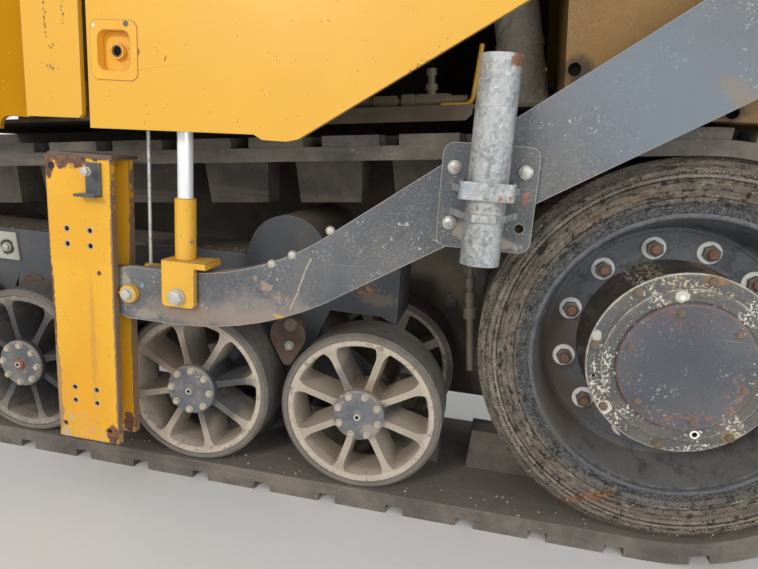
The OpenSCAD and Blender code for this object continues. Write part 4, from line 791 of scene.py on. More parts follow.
def tyreRubber():
    # the drive tyre is worn in broken streaks: grey inside, brown in the middle, gritty near its tread
    material = startMaterial("tyre_rubber")
    tree = material.node_tree
    radius = fromAxle(tree)
    drive = fade(tree, radius, 0.45, 0.43)
    rough = fade(tree, grain(tree, 30, 8, 0.72), 0.34, 0.66)
    color = mixed(tree, rough, driveRubber["dark"], driveRubber["worn"])
    wide = fade(tree, streaks(tree, 10.0, 56, 9, 0.72), 0.44, 0.62)
    color = mixed(tree, times(tree, wide, 0.70), color, driveRubber["dust"])
    middle = times(tree, fade(tree, radius, 0.322, 0.340), fade(tree, radius, 0.380, 0.362))
    ochre = fade(tree, streaks(tree, 9.0, 50, 9, 0.74), 0.46, 0.60)
    ochre = times(tree, ochre, calc(tree, "MAXIMUM", middle, 0.30), 0.65)
    color = mixed(tree, ochre, color, driveRubber["brown"])
    stain = fade(tree, streaks(tree, 7.0, 90, 8, 0.75), 0.60, 0.68)
    color = mixed(tree, times(tree, stain, calc(tree, "MAXIMUM", middle, 0.2)), color, driveRubber["rust"])
    torn = fade(tree, streaks(tree, 14.0, 90, 10, 0.78), 0.45, 0.39)
    color = mixed(tree, times(tree, torn, 0.85), color, driveRubber["black"])
    ridge = driveRubber["ridge"]
    outer = times(tree, fade(tree, radius, ridge - 0.012, ridge + 0.006), drive)
    uneven = times(tree, calc(tree, "SUBTRACT", rough, 0.5), 0.012)
    inner = fade(tree, calc(tree, "ADD", radius, uneven), 0.332, 0.322)
    dusty = fade(tree, grain(tree, 230, 3, 0.6), 0.46, 0.62)
    grey = mixed(tree, dusty, driveRubber["inner"], driveRubber["stipple"])
    color = mixed(tree, times(tree, inner, 0.92), color, grey)
    # ring lines: painted shade in the grooves and a painted highlight on one ridge
    for line, width, tint, amount in driveRubber["lines"]:
        off = calc(tree, "ABSOLUTE", calc(tree, "SUBTRACT", radius, line))
        broken = fade(tree, grain(tree, 24, 6, 0.7), 0.30, 0.46)
        band = times(tree, fade(tree, off, width, width * 0.4), broken, amount)
        color = mixed(tree, band, color, tint)
    bits = fade(tree, cells(tree, 260), 0.52, 0.26)
    choose = fade(tree, grain(tree, 22, 6, 0.7), 0.34, 0.54)
    region = calc(tree, "MAXIMUM", outer, 0.14)
    crumbs = times(tree, bits, choose, region, 0.75)
    color = mixed(tree, crumbs, color, driveRubber["crumb"])
    streak = patch(tree, driveRubber["streak"])
    color = mixed(tree, times(tree, streak, 0.7), color, driveRubber["streak"]["color"])
    lying = times(tree, fade(tree, upward(tree), 0.3, 0.95), 0.4)
    color = mixed(tree, lying, color, driveRubber["dust"])
    height = calc(tree, "ADD", times(tree, wide, 0.4), times(tree, crumbs, 0.6))
    height = calc(tree, "SUBTRACT", height, times(tree, torn, 1.2))
    height = calc(tree, "ADD", height, times(tree, grain(tree, 75, 6, 0.7), 0.9))
    return finishMaterial(material, color, 0.86, 0.0, height, 0.004, {"Specular IOR Level": 0.2})


roadRubber = {
    "dark": (0.125, 0.110, 0.096),
    "worn": (0.200, 0.178, 0.154),
    "lines": (0.27, 0.24, 0.205),
    "dust": (0.200, 0.175, 0.148),
    "edge": (0.25, 0.22, 0.18),
}


def wheelRubber():
    # the road wheels' rubber is smoother and darker, and dustier on its sides
    material = startMaterial("wheel_rubber")
    tree = material.node_tree
    rough = fade(tree, grain(tree, 22, 8, 0.70), 0.34, 0.68)
    color = mixed(tree, rough, roadRubber["dark"], roadRubber["worn"])
    lines = fade(tree, grain(tree, 26, 5, 0.6, stretch=(0.6, 4, 0.6)), 0.50, 0.70)
    color = mixed(tree, times(tree, lines, 0.4), color, roadRubber["lines"])
    side = add(tree, "SeparateXYZ", {0: add(tree, "TexCoord").outputs["Normal"]}).outputs["Y"]
    facing = fade(tree, calc(tree, "ABSOLUTE", side), 0.55, 0.9)
    pale = times(tree, facing, calc(tree, "ADD", times(tree, grain(tree, 34, 6, 0.7), 0.9), 0.25))
    color = mixed(tree, times(tree, pale, 0.7), color, roadRubber["dust"])
    color = mixed(tree, times(tree, rimmed(tree, 0.003), 0.4), color, roadRubber["edge"])
    height = calc(tree, "ADD", grain(tree, 60, 6, 0.7), times(tree, lines, 0.4))
    return finishMaterial(material, color, 0.80, 0.0, height, 0.0015, {"Specular IOR Level": 0.3})


beltLook = {
    "dark": (0.110, 0.099, 0.088),
    "worn": (0.205, 0.178, 0.148),
    "lines": (0.255, 0.212, 0.165),
    "stones": (0.46, 0.385, 0.30),
    "dust": (0.205, 0.180, 0.150),
}


def beltRubber():
    # the belt's rubber is patchy, with lines along its run and small stones pressed in
    material = startMaterial("belt_rubber")
    tree = material.node_tree
    patchy = fade(tree, grain(tree, 7, 7, 0.66), 0.36, 0.66)
    color = mixed(tree, patchy, beltLook["dark"], beltLook["worn"])
    lines = grain(tree, 34, 4, 0.6, stretch=(0.05, 1, 1))
    color = mixed(tree, times(tree, fade(tree, lines, 0.5, 0.72), 0.5), color, beltLook["lines"])
    stones = fade(tree, cells(tree, 130), 0.42, 0.18)
    choose = fade(tree, grain(tree, 18, 5, 0.7), 0.54, 0.72)
    color = mixed(tree, times(tree, stones, choose, 0.5), color, beltLook["stones"])
    lying = times(tree, fade(tree, upward(tree), 0.35, 0.95), 0.6)
    color = mixed(tree, lying, color, beltLook["dust"])
    height = calc(tree, "ADD", grain(tree, 48, 7, 0.7), times(tree, lines, 0.6))
    return finishMaterial(material, color, 0.84, 0.0, height, 0.0025, {"Specular IOR Level": 0.2})


# the mast tube's coat, with rust on it and stains on its shelves
zincCoat = {
    "dull": (0.22, 0.235, 0.24),
    "bright": (0.44, 0.455, 0.455),
    "chalk": (0.56, 0.57, 0.55),
    "dirt": (0.17, 0.145, 0.115),
    "edge": (0.46, 0.37, 0.27),
    "marks": [
        {"at": (-392, 992), "size": (12, 10), "ragged": 2.2, "grain": 60, "color": (0.25, 0.12, 0.06)},
        {"at": (-385, 771), "size": (18, 7), "broken": 110, "color": (0.33, 0.19, 0.11)},
        {"at": (-455, 784), "size": (13, 9), "soft": 0.5, "color": (0.30, 0.38, 0.44), "amount": 0.6},
        {"at": (-420, 752), "size": (50, 5), "broken": 100, "color": (0.32, 0.22, 0.14)},
        {"at": (-430, 700), "size": (8, 40), "broken": 90, "color": (0.26, 0.25, 0.22), "amount": 0.7},
    ],
}


def galvanised():
    material = startMaterial("galvanised")
    tree = material.node_tree
    flake = add(tree, "TexVoronoi", {"Vector": where(tree), "Scale": 170.0, "Randomness": 1.0})
    bright = add(tree, "SeparateColor", {0: flake.outputs["Color"]}).outputs[0]
    color = mixed(tree, bright, zincCoat["dull"], zincCoat["bright"])
    chalk = fade(tree, grain(tree, 26, 7, 0.7, stretch=(1, 1, 0.45)), 0.40, 0.60)
    color = mixed(tree, times(tree, chalk, 0.5), color, zincCoat["chalk"])
    dirt = fade(tree, grain(tree, 38, 6, 0.7), 0.56, 0.70)
    color = mixed(tree, times(tree, dirt, 0.8), color, zincCoat["dirt"])
    for mark in zincCoat["marks"]:
        color = mixed(tree, patch(tree, mark), color, mark["color"])
    color = mixed(tree, times(tree, rimmed(tree, 0.003), 0.6), color, zincCoat["edge"])
    rough = calc(tree, "ADD", times(tree, chalk, 0.25), 0.36)
    height = calc(tree, "ADD", times(tree, bright, 0.25), times(tree, grain(tree, 70, 5, 0.7), 0.7))
    return finishMaterial(material, color, rough, 0.45, height, 0.0014)


rodLook = {"bright": (0.98, 0.98, 0.99), "smear": (0.86, 0.87, 0.90)}


def chromeRod():
    material = startMaterial("chrome_rod")
    tree = material.node_tree
    smear = fade(tree, grain(tree, 20, 4, stretch=(1, 1, 0.2)), 0.45, 0.8)
    color = mixed(tree, smear, rodLook["bright"], rodLook["smear"])
    rough = calc(tree, "ADD", times(tree, smear, 0.10), 0.12)
    return finishMaterial(material, color, rough, 0.25, grain(tree, 200, 2), 0.0001)


boltZinc = {"clean": (0.56, 0.56, 0.52), "stain": (0.33, 0.30, 0.24), "edge": (0.72, 0.71, 0.66)}


def zincSteel():
    material = startMaterial("zinc")
    tree = material.node_tree
    stain = fade(tree, grain(tree, 60, 6, 0.7), 0.45, 0.70)
    color = mixed(tree, stain, boltZinc["clean"], boltZinc["stain"])
    color = mixed(tree, times(tree, rimmed(tree, 0.002), 0.4), color, boltZinc["edge"])
    rough = calc(tree, "ADD", times(tree, stain, 0.25), 0.38)
    return finishMaterial(material, color, rough, 0.45, grain(tree, 160, 5), 0.0004)


# where eight bolts and a centre plug sit on each bogie wheel's cap, and how far each wheel is turned
capBolts = {
    "turns": {-656: 16, -1070: -15, -1540: 30, -1954: 5},
    "wheelZ": 242.3, "radius": 49, "count": 8, "phase": 12.7, "flats": 13, "height": 6, "plug": 7.5,
    "collar": 9, "recess": 8,
}

finishes = {name: wornPaint(name, look) for name, look in paints.items()}
finishes["tyre_rubber"] = tyreRubber()
finishes["wheel_rubber"] = wheelRubber()
finishes["belt_rubber"] = beltRubber()
finishes["galvanised"] = galvanised()
finishes["chrome_rod"] = chromeRod()
finishes["zinc"] = zincSteel()
print("finishes made:", len(finishes))

slotOf = {s["node"]: s["material_slot"] for s in frame["record"]["subparts"]}
ownFinish = {
    "duct": "duct_grey", "bogie_tyres": "wheel_rubber", "fender_panel": "fender_yellow_painted_shade",
    "rear_tank": "tank_yellow_painted_shade", "door_latch": "latch_yellow", "post_angle": "frame_black",
    "inner_wall": "inner_wall_painted_shade",
    "idler_rims": "idler_steel", "idler_tyres": "wheel_rubber",
    "side_frame": "shade_brown", "drive_housing": "shade_brown",
}
for name, item in nodes.items():
    item.data.materials.clear()
    item.data.materials.append(finishes[ownFinish.get(name, slotOf[name])])

# small pieces: forms are lists of points and faces, in millimetres until they are placed


def turnedForm(profile, segments=24):
    # a closed form turned round its own axis, from (radius, height) pairs that start and end on the axis
    points, rings = [], []
    for radius, height in profile:
        count = segments if radius else 1
        rings.append(range(len(points), len(points) + count))
        for k in range(count):
            angle = 2 * math.pi * k / segments
            points.append(Vector((radius * math.cos(angle), radius * math.sin(angle), height)))
    return points, ringFaces(rings, segments)


def discForm(radius, top, bevel=0.0, foot=-1.0, segments=24):
    # a round head or washer that stands on zero, with its foot sunk a little
    profile = [(0, foot), (radius, foot), (radius, top - bevel)]
    if bevel:
        profile.append((radius - bevel, top))
    return turnedForm(profile + [(0, top)], segments)


def socketForm(radius, top, floor, segments=24):
    # a plug with a wide round socket in its face
    profile = [(0, -1), (radius, -1), (radius, 1.5), (radius * 0.62, top), (radius * 0.60, floor)]
    return turnedForm(profile + [(0, floor)], segments)


def ringFaces(rings, segments):
    faces = []
    for a, b in zip(rings, rings[1:]):
        for k in range(segments):
            after = (k + 1) % segments
            corners = [a[k % len(a)], a[after % len(a)], b[after % len(b)], b[k % len(b)]]
            faces.append(list(dict.fromkeys(corners)))
    return faces


def hexForm(flats, height, base=0.0, segments=24):
    # a hex head whose corners are cut by a cone, as a real one's are
    half = flats / 2
    points = [Vector((0, 0, base))]
    rings = [range(0, 1)]
    for level in ("foot", "shoulder", "top"):
        rings.append(range(len(points), len(points) + segments))
        for k in range(segments):
            angle = 2 * math.pi * k / segments
            reach = half / math.cos(angle % (math.pi / 3) - math.pi / 6)
            drop = (reach - 0.93 * half) * 0.55
            if level == "top":
                reach = 0.93 * half
            up = {"foot": base, "shoulder": base + height - drop, "top": base + height}[level]
            points.append(Vector((reach * math.cos(angle), reach * math.sin(angle), up)))
    rings.append(range(len(points), len(points) + 1))
    points.append(Vector((0, 0, base + height)))
    return points, ringFaces(rings, segments)


def lumpForm(size, dice):
    # a broken stone: an icosahedron with moved corners
    t = (1 + math.sqrt(5)) / 2
    corners = [(-1, t, 0), (1, t, 0), (-1, -t, 0), (1, -t, 0), (0, -1, t), (0, 1, t)]
    corners += [(0, -1, -t), (0, 1, -t), (t, 0, -1), (t, 0, 1), (-t, 0, -1), (-t, 0, 1)]
    faces = [(0, 11, 5), (0, 5, 1), (0, 1, 7), (0, 7, 10), (0, 10, 11), (1, 5, 9), (5, 11, 4)]
    faces += [(11, 10, 2), (10, 7, 6), (7, 1, 8), (3, 9, 4), (3, 4, 2), (3, 2, 6), (3, 6, 8)]
    faces += [(3, 8, 9), (4, 9, 5), (2, 4, 11), (6, 2, 10), (8, 6, 7), (9, 8, 1)]
    flat = Vector((dice.uniform(0.7, 1.2), dice.uniform(0.7, 1.2), dice.uniform(0.45, 0.8)))
    points = []
    for corner in corners:
        point = Vector(corner).normalized() * size * dice.uniform(0.8, 1.15)
        points.append(Vector((point.x * flat.x, point.y * flat.y, point.z * flat.z)))
    return points, faces


def tubeForm(path, radius, sides=14):
    # a round tube along a path in the paver's millimetres
    points, rings = [], []
    for i, spot in enumerate(path):
        before, after = path[max(i - 1, 0)], path[min(i + 1, len(path) - 1)]
        turn = (Vector(after) - Vector(before)).to_track_quat("Z", "Y").to_matrix()
        if i == 0:
            rings.append(range(0, 1))
            points.append(here(*spot))
        rings.append(range(len(points), len(points) + sides))
        for k in range(sides):
            angle = 2 * math.pi * k / sides
            rim = Vector((radius * math.cos(angle), radius * math.sin(angle), 0))
            points.append(here(*(Vector(spot) + turn @ rim)))
    rings.append(range(len(points), len(points) + 1))
    points.append(here(*path[-1]))
    return points, ringFaces(rings, sides)


outward, inward, skyward = (0, -1, 0), (0, 1, 0), (0, 0, 1)


def placed(form, spot, facing=outward, roll=0.0):
    points, faces = form
    spin = Matrix.Rotation(math.radians(roll), 3, "Z")
    turn = Vector(facing).to_track_quat("Z", "Y").to_matrix() @ spin
    return [here(*spot) + turn @ point / 1000 for point in points], faces


def makePiece(name, body, finish, forms):
    mesh = bpy.data.meshes.new(name)
    shape = bmesh.new()
    for points, faces in forms:
        corners = [shape.verts.new(point) for point in points]
        for face in faces:
            shape.faces.new([corners[i] for i in face])
    bmesh.ops.recalc_face_normals(shape, faces=shape.faces)
    shape.to_mesh(mesh)
    shape.free()
    mesh.shade_smooth()
    mesh.set_sharp_from_angle(angle=math.radians(35))
    mesh.materials.append(finishes[finish])
    piece = bpy.data.objects.new(name, mesh)
    bpy.context.scene.collection.objects.link(piece)
    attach(piece, body)
    return piece


def ringSpots(x, z, radius, count, phase):
    turns = [math.radians(phase + 360 * k / count) for k in range(count)]
    return [(x + radius * math.cos(a), z + radius * math.sin(a)) for a in turns]


# wheel nuts of the drive wheel, each with a white washer and a rusty stud end
wheelNuts = {
    "count": 12, "radius": 217, "phase": 15.2, "face": 136, "washer": 25, "thick": 5,
    "flats": 31, "height": 18, "stud": 10.5, "end": 28,
}


def addWheelNuts(spec, dice):
    faceY, nutY = spec["face"], spec["face"] - 4
    washer = discForm(spec["washer"], spec["thick"], 2, segments=32)
    nut = hexForm(spec["flats"], spec["height"])
    stud = discForm(spec["stud"], spec["end"], 2, foot=0)
    washers, nuts, studs = [], [], []
    for x, z in ringSpots(0, hubZ, spec["radius"], spec["count"], spec["phase"]):
        washers.append(placed(washer, (x, faceY, z)))
        nuts.append(placed(nut, (x, nutY, z), roll=dice.uniform(0, 60)))
        studs.append(placed(stud, (x, nutY, z)))
    makePiece("wheel_nut_washers", "chassis", "white_washer", washers)
    makePiece("wheel_nuts", "chassis", "nut_dark", nuts)
    makePiece("wheel_studs", "chassis", "rusty_bolt", studs)


# bolts on the hub's flange and its cover, with two plugs and a small hole between them
hubBolts = {
    "flange": {"count": 8, "radius": 176, "phase": 83, "flats": 15, "height": 8},
    "cover": {"count": 6, "radius": 113, "phase": 45, "flats": 12, "height": 5},
    "whitePlug": {"radius": 142, "angle": 102.6, "size": 6.5},
    "drainPlug": {"radius": 144, "angle": -73.8, "size": 9},
    "smallHole": {"radius": 173, "angle": 195, "size": 5.4},
}


def onHub(place, depth):
    turn = math.radians(place["angle"])
    return place["radius"] * math.cos(turn), depth, hubZ + place["radius"] * math.sin(turn)


def addHubBolts(spec, dice):
    coverY = front("drive_cover")
    stepY, flangeY = coverY + 10, coverY + 20
    heads = []
    for part, depth in (("flange", flangeY), ("cover", coverY)):
        ring = spec[part]
        across = ring["flats"]
        collar = turnedForm([(0, -1), (across * 0.62, -1), (across * 0.60, 1.5), (0, 1.5)])
        head = hexForm(across, ring["height"])
        for x, z in ringSpots(0, hubZ, ring["radius"], ring["count"], ring["phase"]):
            heads.append(placed(collar, (x, depth, z)))
            heads.append(placed(head, (x, depth, z), roll=dice.uniform(0, 60)))
    makePiece("hub_bolts", "chassis", "hub_bolt", heads)
    plug = spec["whitePlug"]
    form = discForm(plug["size"], 4, 2)
    makePiece("hub_filler_plug", "chassis", "white_washer", [placed(form, onHub(plug, stepY))])
    rings, holes = [], []
    for part, depth in (("drainPlug", stepY), ("smallHole", flangeY)):
        plug = spec[part]
        size = plug["size"]
        if part == "drainPlug":
            rings.append(placed(socketForm(size, 2, 0.8), onHub(plug, depth)))
        # a near-black disc in the drain plug's socket and in the small hole is painted shade
        dark = discForm(size * 0.56, 1.1, foot=-0.5)
        holes.append(placed(dark, onHub(plug, depth)))
    makePiece("hub_drain_plug", "chassis", "white_washer", rings)
    makePiece("hub_plug_socket_shade", "chassis", "painted_shade_black", holes)


def addCapBolts(spec, dice):
    capY = front("bogie_caps")
    collar = discForm(spec["collar"], 2, 1, segments=20)
    head = hexForm(spec["flats"], spec["height"], base=1)
    size = spec["plug"]
    ring = socketForm(size, 1.8, 0.6, 20)
    # the near-black disc in each cap plug's socket is painted shade
    dark = discForm(size * 0.55, 0.9, foot=0, segments=16)
    heads, rings, holes = [], [], []
    sides = ((capY, outward), (beltWidth - capY, inward))
    for wheelX, turned in spec["turns"].items():
        for faceY, facing in sides:
            phase = spec["phase"] + turned
            bolt = faceY + spec["recess"] if facing == outward else faceY - spec["recess"]
            for x, z in ringSpots(wheelX, spec["wheelZ"], spec["radius"], spec["count"], phase):
                heads.append(placed(collar, (x, bolt, z), facing))
                heads.append(placed(head, (x, bolt, z), facing, dice.uniform(0, 60)))
            rings.append(placed(ring, (wheelX, faceY, spec["wheelZ"]), facing))
            holes.append(placed(dark, (wheelX, faceY, spec["wheelZ"]), facing))
    makePiece("cap_bolts", "chassis", "dusty_bolt", heads)
    makePiece("cap_plugs", "chassis", "pale_bolt", rings)
    makePiece("cap_plug_socket_shade", "chassis", "painted_shade_black", holes)


# single bolts: where, on which face, across the flats, how tall, washer radius, finish
singleBolts = {
    "mast_bolts": {
        "body": "arm", "finish": "zinc", "face": "mast_plate", "flats": 17, "height": 9, "washer": 13,
        "spots": [(-484, 814), (-356, 814), (-484, 712)],
    },
    "clevis_bolt": {
        "body": "rod", "finish": "pale_bolt", "face": "clevis_pin", "flats": 28, "height": 8,
        "washer": 17, "spots": [(-1038, 504)],
    },
    "nose_bolt": {
        "body": "arm", "finish": "pale_bolt", "face": "nose_pin", "flats": 20, "height": 9,
        "washer": 14, "spots": [(-1158, 495)],
    },
    "angle_bolt": {
        "body": "chassis", "finish": "pale_bolt", "face": "post_angle", "flats": 16, "height": 8,
        "washer": 10, "spots": [(-1219, 752)],
    },
    "frame_end_bolts": {
        "body": "chassis", "finish": "pale_bolt", "face": 84, "flats": 17, "height": 8, "washer": 12,
        "spots": [(-858, 353)],
    },
    "adapter_bolts": {
        "body": "chassis", "finish": "pale_bolt", "face": "adapter_plate", "flats": 18, "height": 8,
        "washer": 13, "spots": [(-1686, 508)],
    },
    "stop_bolts": {
        "body": "chassis", "finish": "rusty_bolt", "face": 132, "flats": 20, "height": 10, "washer": 14,
        "spots": [(-1613, 399)],
    },
    "side_frame_bolts": {
        "body": "chassis", "finish": "nut_dark", "face": "side_frame", "flats": 36, "height": 15,
        "washer": 22, "spots": [(-1700, 410), (-1700, 690), (-500, 410), (-500, 690)],
    },
}


def addSingleBolts(table, dice):
    for name, spec in table.items():
        faceY = front(spec["face"]) if isinstance(spec["face"], str) else spec["face"]
        reach = spec["washer"]
        washer = discForm(reach, 2.5, 1, segments=28)
        head = hexForm(spec["flats"], spec["height"], base=2)
        forms = []
        for x, z in spec["spots"]:
            forms.append(placed(washer, (x, faceY, z)))
            forms.append(placed(head, (x, faceY, z), roll=dice.uniform(0, 60)))
        makePiece(name, spec["body"], spec["finish"], forms)


# round boss beside the rear bogie's keeper
keeperBoss = {"spot": (-856, 408), "face": 84, "radius": 17, "height": 9}


def addKeeperBoss(spec):
    r, h = spec["radius"], spec["height"]
    profile = [(0, -1), (r, -1), (r, h - 3), (r - 3, h), (r * 0.45, h), (r * 0.40, h - 3), (0, h - 3)]
    x, z = spec["spot"]
    boss = placed(turnedForm(profile, 28), (x, spec["face"], z))
    makePiece("keeper_boss", "chassis", "nut_dark", [boss])


# grease nipple on the clevis sleeve, and three pale studs along the arm's upper edge
smallHeads = {
    "nipple": (-1018, -96, 620),
    "studs": [(-837, 593), (-794, 616), (-717, 673)],
    "studY": -104,
    "studRadius": 9,
}


def addSmallHeads(spec):
    nipple = turnedForm([(0, -4), (4, -4), (4, 2), (2.5, 4), (2.5, 7), (3.5, 9), (2, 12), (0, 12)], 16)
    makePiece("grease_nipple", "rod", "brass_fitting", [placed(nipple, spec["nipple"], (0.7, -0.7, 0.2))])
    size = spec["studRadius"]
    turns = [math.radians(a) for a in range(0, 90, 15)]
    dome = [(size * math.cos(a), 0.6 * size * math.sin(a)) for a in turns]
    stud = turnedForm([(0, -6), (size, -6)] + dome + [(0, 0.6 * size)], 20)
    studs = [placed(stud, (x, spec["studY"], z)) for x, z in spec["studs"]]
    makePiece("arm_studs", "arm", "pale_bolt", studs)


# the lock in the door's latch cup: a keyhole made black with painted shade, in a rusty ring, a boss, a
# rivet and a plug
lockLook = {
    "keyhole": (-1158, 987), "ring": 11.5, "rivet": (-1200, 1031), "plug": (-1131, 1036),
    "boss": (-1129, 986), "ringDepth": 9.5, "bossDepth": 19.5,
}


def addDoorLock(spec):
    faceY = front("door_latch")
    hole = discForm(8.8, -2, foot=-6, segments=28)
    x, z = spec["keyhole"]
    ringY, bossY = faceY + spec["ringDepth"], faceY + spec["bossDepth"]
    makePiece("latch_keyhole_shade", "door_leaf", "painted_shade_black", [placed(hole, (x, ringY, z))])
    outer = spec["ring"]
    profile = [(0, -8), (outer, -8), (outer, 0.6), (outer - 1.2, 1.2), (9.4, 0.9), (8.9, -6), (0, -6)]
    rim = turnedForm(profile, 28)
    makePiece("latch_ring", "door_leaf", "rusty_steel", [placed(rim, (x, ringY, z))])
    x, z = spec["boss"]
    turns = [math.radians(a) for a in range(-80, 90, 20)]
    path = [(x - 12, bossY, z - 10)]
    path += [(x - 3 + 9 * math.cos(a), bossY, z + 10 * math.sin(a)) for a in turns]
    path.append((x - 12, bossY, z + 10))
    makePiece("latch_boss", "door_leaf", "latch_yellow", [tubeForm(path, 2.6)])
    rivet = turnedForm([(0, -1), (3.4, -1), (3.2, 1), (1.8, 2.2), (0, 2.5)], 16)
    x, z = spec["rivet"]
    makePiece("latch_rivet", "door_leaf", "white_washer", [placed(rivet, (x, faceY, z))])
    plug = turnedForm([(0, -1), (5.5, -1), (5.5, 0.8), (4.5, 1.6), (0, 1.6)], 20)
    x, z = spec["plug"]
    makePiece("latch_plug", "door_leaf", "nut_dark", [placed(plug, (x, faceY, z))])


# weld bead across the arm where its nose half joins
armWeld = {
    "line": [(-753, 613), (-763, 590), (-772, 562), (-781, 533), (-794, 502)],
    "radius": 2.2, "steps": 60, "depth": 10.2,
}


def addArmWeld(spec, dice):
    weldY = front("mast_plate") + spec["depth"]
    line = [Vector((x, 0, z)) for x, z in spec["line"]]
    path = []
    for k in range(spec["steps"] + 1):
        share = k / spec["steps"] * (len(line) - 1)
        i = min(int(share), len(line) - 2)
        spot = line[i].lerp(line[i + 1], share - i)
        path.append((spot.x + dice.uniform(-0.8, 0.8), weldY + dice.uniform(-0.5, 0.4), spot.z))
    makePiece("arm_weld", "arm", "dusty_bolt", [tubeForm(path, spec["radius"], 10)])


# flat strap round the mast tube, standing on the upper shelf
strapLook = {"x": -420, "half": 48, "low": 765, "high": 795, "out": -219.6, "wall": 4.5, "corner": 14}


def addStrap(spec):
    plateY = front("mast_plate")
    outline = []
    for side, turns in ((-1, range(180, 271, 15)), (1, range(270, 361, 15))):
        for a in turns:
            corner = Vector((math.cos(math.radians(a)), math.sin(math.radians(a))))
            x = spec["x"] + side * (spec["half"] - spec["corner"])
            outline.append((x, spec["out"] + spec["corner"], corner))
    rings = []
    points = []
    for reach in (spec["corner"], spec["corner"] - spec["wall"]):
        path = [(x + reach * c.x, y + reach * c.y) for x, y, c in outline]
        edge = spec["half"] - (spec["corner"] - reach)
        path = [(spec["x"] - edge, plateY + 0.5)] + path + [(spec["x"] + edge, plateY + 0.5)]
        for level in (spec["low"], spec["high"]):
            rings.append(range(len(points), len(points) + len(path)))
            points += [here(x, y, level) for x, y in path]
    outLow, outHigh, inLow, inHigh = rings
    faces = []
    for a, b in ((outLow, outHigh), (outHigh, inHigh), (inHigh, inLow), (inLow, outLow)):
        faces += [[a[k], a[k + 1], b[k + 1], b[k]] for k in range(len(a) - 1)]
    for k in (0, -1):
        faces.append([outLow[k], outHigh[k], inHigh[k], inLow[k]])
    makePiece("mast_strap", "arm", "galvanised", [(points, faces)])


# pale rims of the post's bolt holes, and painted shade as dark discs at the bottoms of the post's bolt
# holes and of the tank's two holes
postHoles = [(-1292, 626), (-1237, 626), (-1292, 593), (-1237, 593), (-1292, 263), (-1237, 263)]
postHoles += [(-1292, 231), (-1237, 231), (-1321, 170), (-1208, 167)]
tankHoles = [(-288, 1004), (-9, 944)]


def addHoleRims():
    faceY = front("post_plate")
    rim = turnedForm([(5.6, -0.6), (8, -0.6), (8, 0.3), (6.4, 0.8), (5.6, 0.3), (5.6, -0.6)], 20)
    dark = discForm(5.4, 1, segments=16)
    rims = [placed(rim, (x, faceY, z)) for x, z in postHoles[:8]]
    makePiece("post_hole_rims", "chassis", "dusty_bolt", rims)
    bottoms = [placed(dark, (x, faceY + 5, z)) for x, z in postHoles]
    disc = discForm(11.8, 1, segments=28)
    bottoms += [placed(disc, (x, front("rear_tank") + 13, z)) for x, z in tankHoles]
    makePiece("hole_bottom_shade", "chassis", "painted_shade_black", bottoms)


# hex heads under the deck's lip
lipBolts = {"spots": [(-580, 904), (-500, 911)], "y": 30, "flats": 16, "height": 8}


def addLipBolts(spec):
    head = hexForm(spec["flats"], spec["height"])
    shank = discForm(5, 1, foot=-14, segments=16)
    forms = []
    for x, z in spec["spots"]:
        top = (x, spec["y"], z + 10)
        forms += [placed(head, top, (0, 0, -1)), placed(shank, top, (0, 0, -1))]
    makePiece("lip_bolts", "chassis", "nut_dark", forms)


# two dark hoses over the deck, from the duct to the tank
deckHoses = {
    "radius": 9,
    "paths": [
        [(-420, 205, 990), (-400, 206, 984), (-370, 207, 974),
         (-335, 206, 968), (-305, 204, 970), (-280, 202, 974)],
        [(-430, 180, 1016), (-405, 181, 1010), (-370, 182, 1000),
         (-335, 181, 994), (-300, 180, 994), (-275, 180, 996)],
    ],
}


def addHoses(spec):
    hoses = [tubeForm(path, spec["radius"]) for path in spec["paths"]]
    makePiece("deck_hoses", "chassis", "hose_black", hoses)


# stones and soil that lie on the belt and the beam, and grit that sticks to the drive tyre
crumbLook = {
    "seed": 7, "tyre": 110, "belt": 150, "beam": 240, "small": 1.6, "large": 5.5,
    "tyreBand": (374, 398),
    "beltX": (-2300, -100), "beltY": (6, 90), "beltTop": 52.5,
    "beamX": (-1900, -700), "beamY": (142, 200), "beamTop": 558,
}


def addCrumbs(spec):
    dice = random.Random(spec["seed"])

    def size():
        return spec["small"] + (spec["large"] - spec["small"]) * dice.random() ** 2.4

    tyreY = front("drive_tyres")
    stuck = []
    for _ in range(spec["tyre"]):
        angle = dice.uniform(0, 2 * math.pi)
        radius = dice.uniform(*spec["tyreBand"])
        spot = (radius * math.cos(angle), tyreY + 1.5, hubZ + radius * math.sin(angle))
        stuck.append(placed(lumpForm(size() * 0.6, dice), spot, outward, dice.uniform(0, 360)))
    makePiece("tyre_grit", "chassis", "grit", stuck)
    lying = []
    for _ in range(spec["belt"]):
        spot = (dice.uniform(*spec["beltX"]), dice.uniform(*spec["beltY"]), spec["beltTop"])
        lying.append(placed(lumpForm(size(), dice), spot, skyward, dice.uniform(0, 360)))
    makePiece("belt_grit", "chassis", "grit", lying)
    heap = []
    for _ in range(spec["beam"]):
        x, y = dice.uniform(*spec["beamX"]), dice.uniform(*spec["beamY"])
        spot = (x, y, spec["beamTop"] + dice.uniform(-1, 1.5))
        heap.append(placed(lumpForm(size() * 1.5, dice), spot, skyward, dice.uniform(0, 360)))
    makePiece("beam_soil", "chassis", "soil", heap)


dice = random.Random(3)
addWheelNuts(wheelNuts, dice)
addHubBolts(hubBolts, dice)
addCapBolts(capBolts, dice)
addSingleBolts(singleBolts, dice)
addKeeperBoss(keeperBoss)
addSmallHeads(smallHeads)
addDoorLock(lockLook)
addArmWeld(armWeld, dice)
addStrap(strapLook)
addHoleRims()
addLipBolts(lipBolts)
addHoses(deckHoses)
addCrumbs(crumbLook)
print("small pieces made")

# floor and light

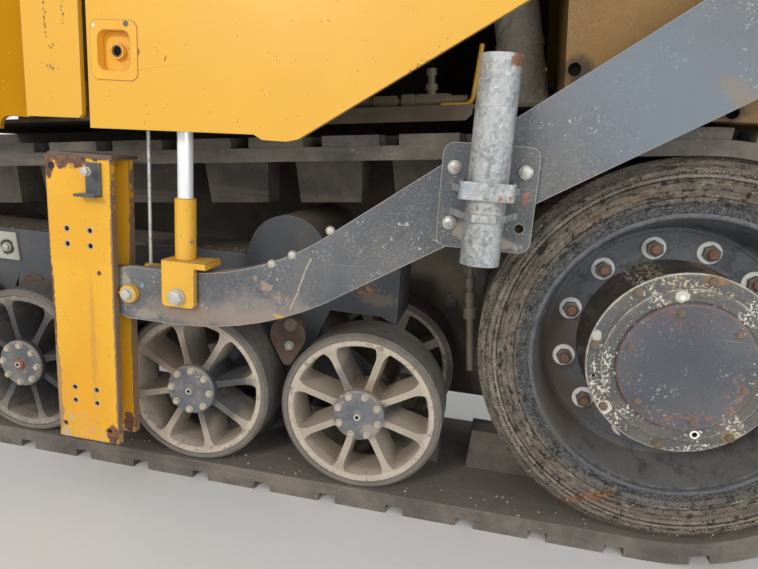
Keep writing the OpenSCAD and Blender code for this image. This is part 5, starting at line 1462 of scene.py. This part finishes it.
studio = {
    "floorColor": (0.80, 0.79, 0.77),
    "floorSize": 14,
    "sky": 0.62,
    "backdrop": 0.93,
    "key": {
        "place": (-2.0, -6.6, 3.9), "aim": (0.3, 0, 0.6), "size": 1.6, "power": 212,
        "color": (1.0, 0.965, 0.91),
    },
    "fill": {
        "place": (4.2, -4.6, 2.4), "aim": (0.5, 0, 0.5), "size": 4.0, "power": 105,
        "color": (0.90, 0.95, 1.0),
    },
}


def areaLight(name, spec):
    data = bpy.data.lights.new(name, "AREA")
    data.size = spec["size"]
    data.energy = spec["power"]
    data.color = spec["color"]
    lamp = bpy.data.objects.new(name, data)
    aim = Vector(spec["aim"]) - Vector(spec["place"])
    lamp.rotation_euler = aim.to_track_quat("-Z", "Y").to_euler()
    lamp.location = spec["place"]
    bpy.context.scene.collection.objects.link(lamp)


def setStudio():
    size = studio["floorSize"]
    mesh = bpy.data.meshes.new("floor")
    corners = [(-size, -size, 0), (size, -size, 0), (size, size, 0), (-size, size, 0)]
    mesh.from_pydata(corners, [], [(0, 1, 2, 3)])
    floor = bpy.data.objects.new("floor", mesh)
    bpy.context.scene.collection.objects.link(floor)
    material = startMaterial("pale_floor")
    tree = material.node_tree
    mottle = fade(tree, grain(tree, 1.5, 4), 0.3, 0.8)
    pale = studio["floorColor"]
    color = mixed(tree, mottle, pale, tuple(c * 0.96 for c in pale))
    mesh.materials.append(finishMaterial(material, color, 0.8))
    world = bpy.data.worlds.new("studioSky")
    bpy.context.scene.world = world
    world.use_nodes = True
    tree = world.node_tree
    tree.nodes.clear()
    rays = add(tree, "LightPath").outputs
    seen = calc(tree, "MAXIMUM", rays["Is Camera Ray"], rays["Is Glossy Ray"])
    strength = mixed(tree, seen, (studio["sky"],) * 3, (studio["backdrop"],) * 3)
    sky = add(tree, "Background", {"Color": (0.96, 0.98, 1.0), "Strength": strength})
    output = add(tree, "OutputWorld")
    tree.links.new(sky.outputs[0], output.inputs[0])
    areaLight("keyLight", studio["key"])
    areaLight("fillLight", studio["fill"])


setStudio()
view = bpy.context.scene.view_settings
view.view_transform = "Standard"
print("studio set")
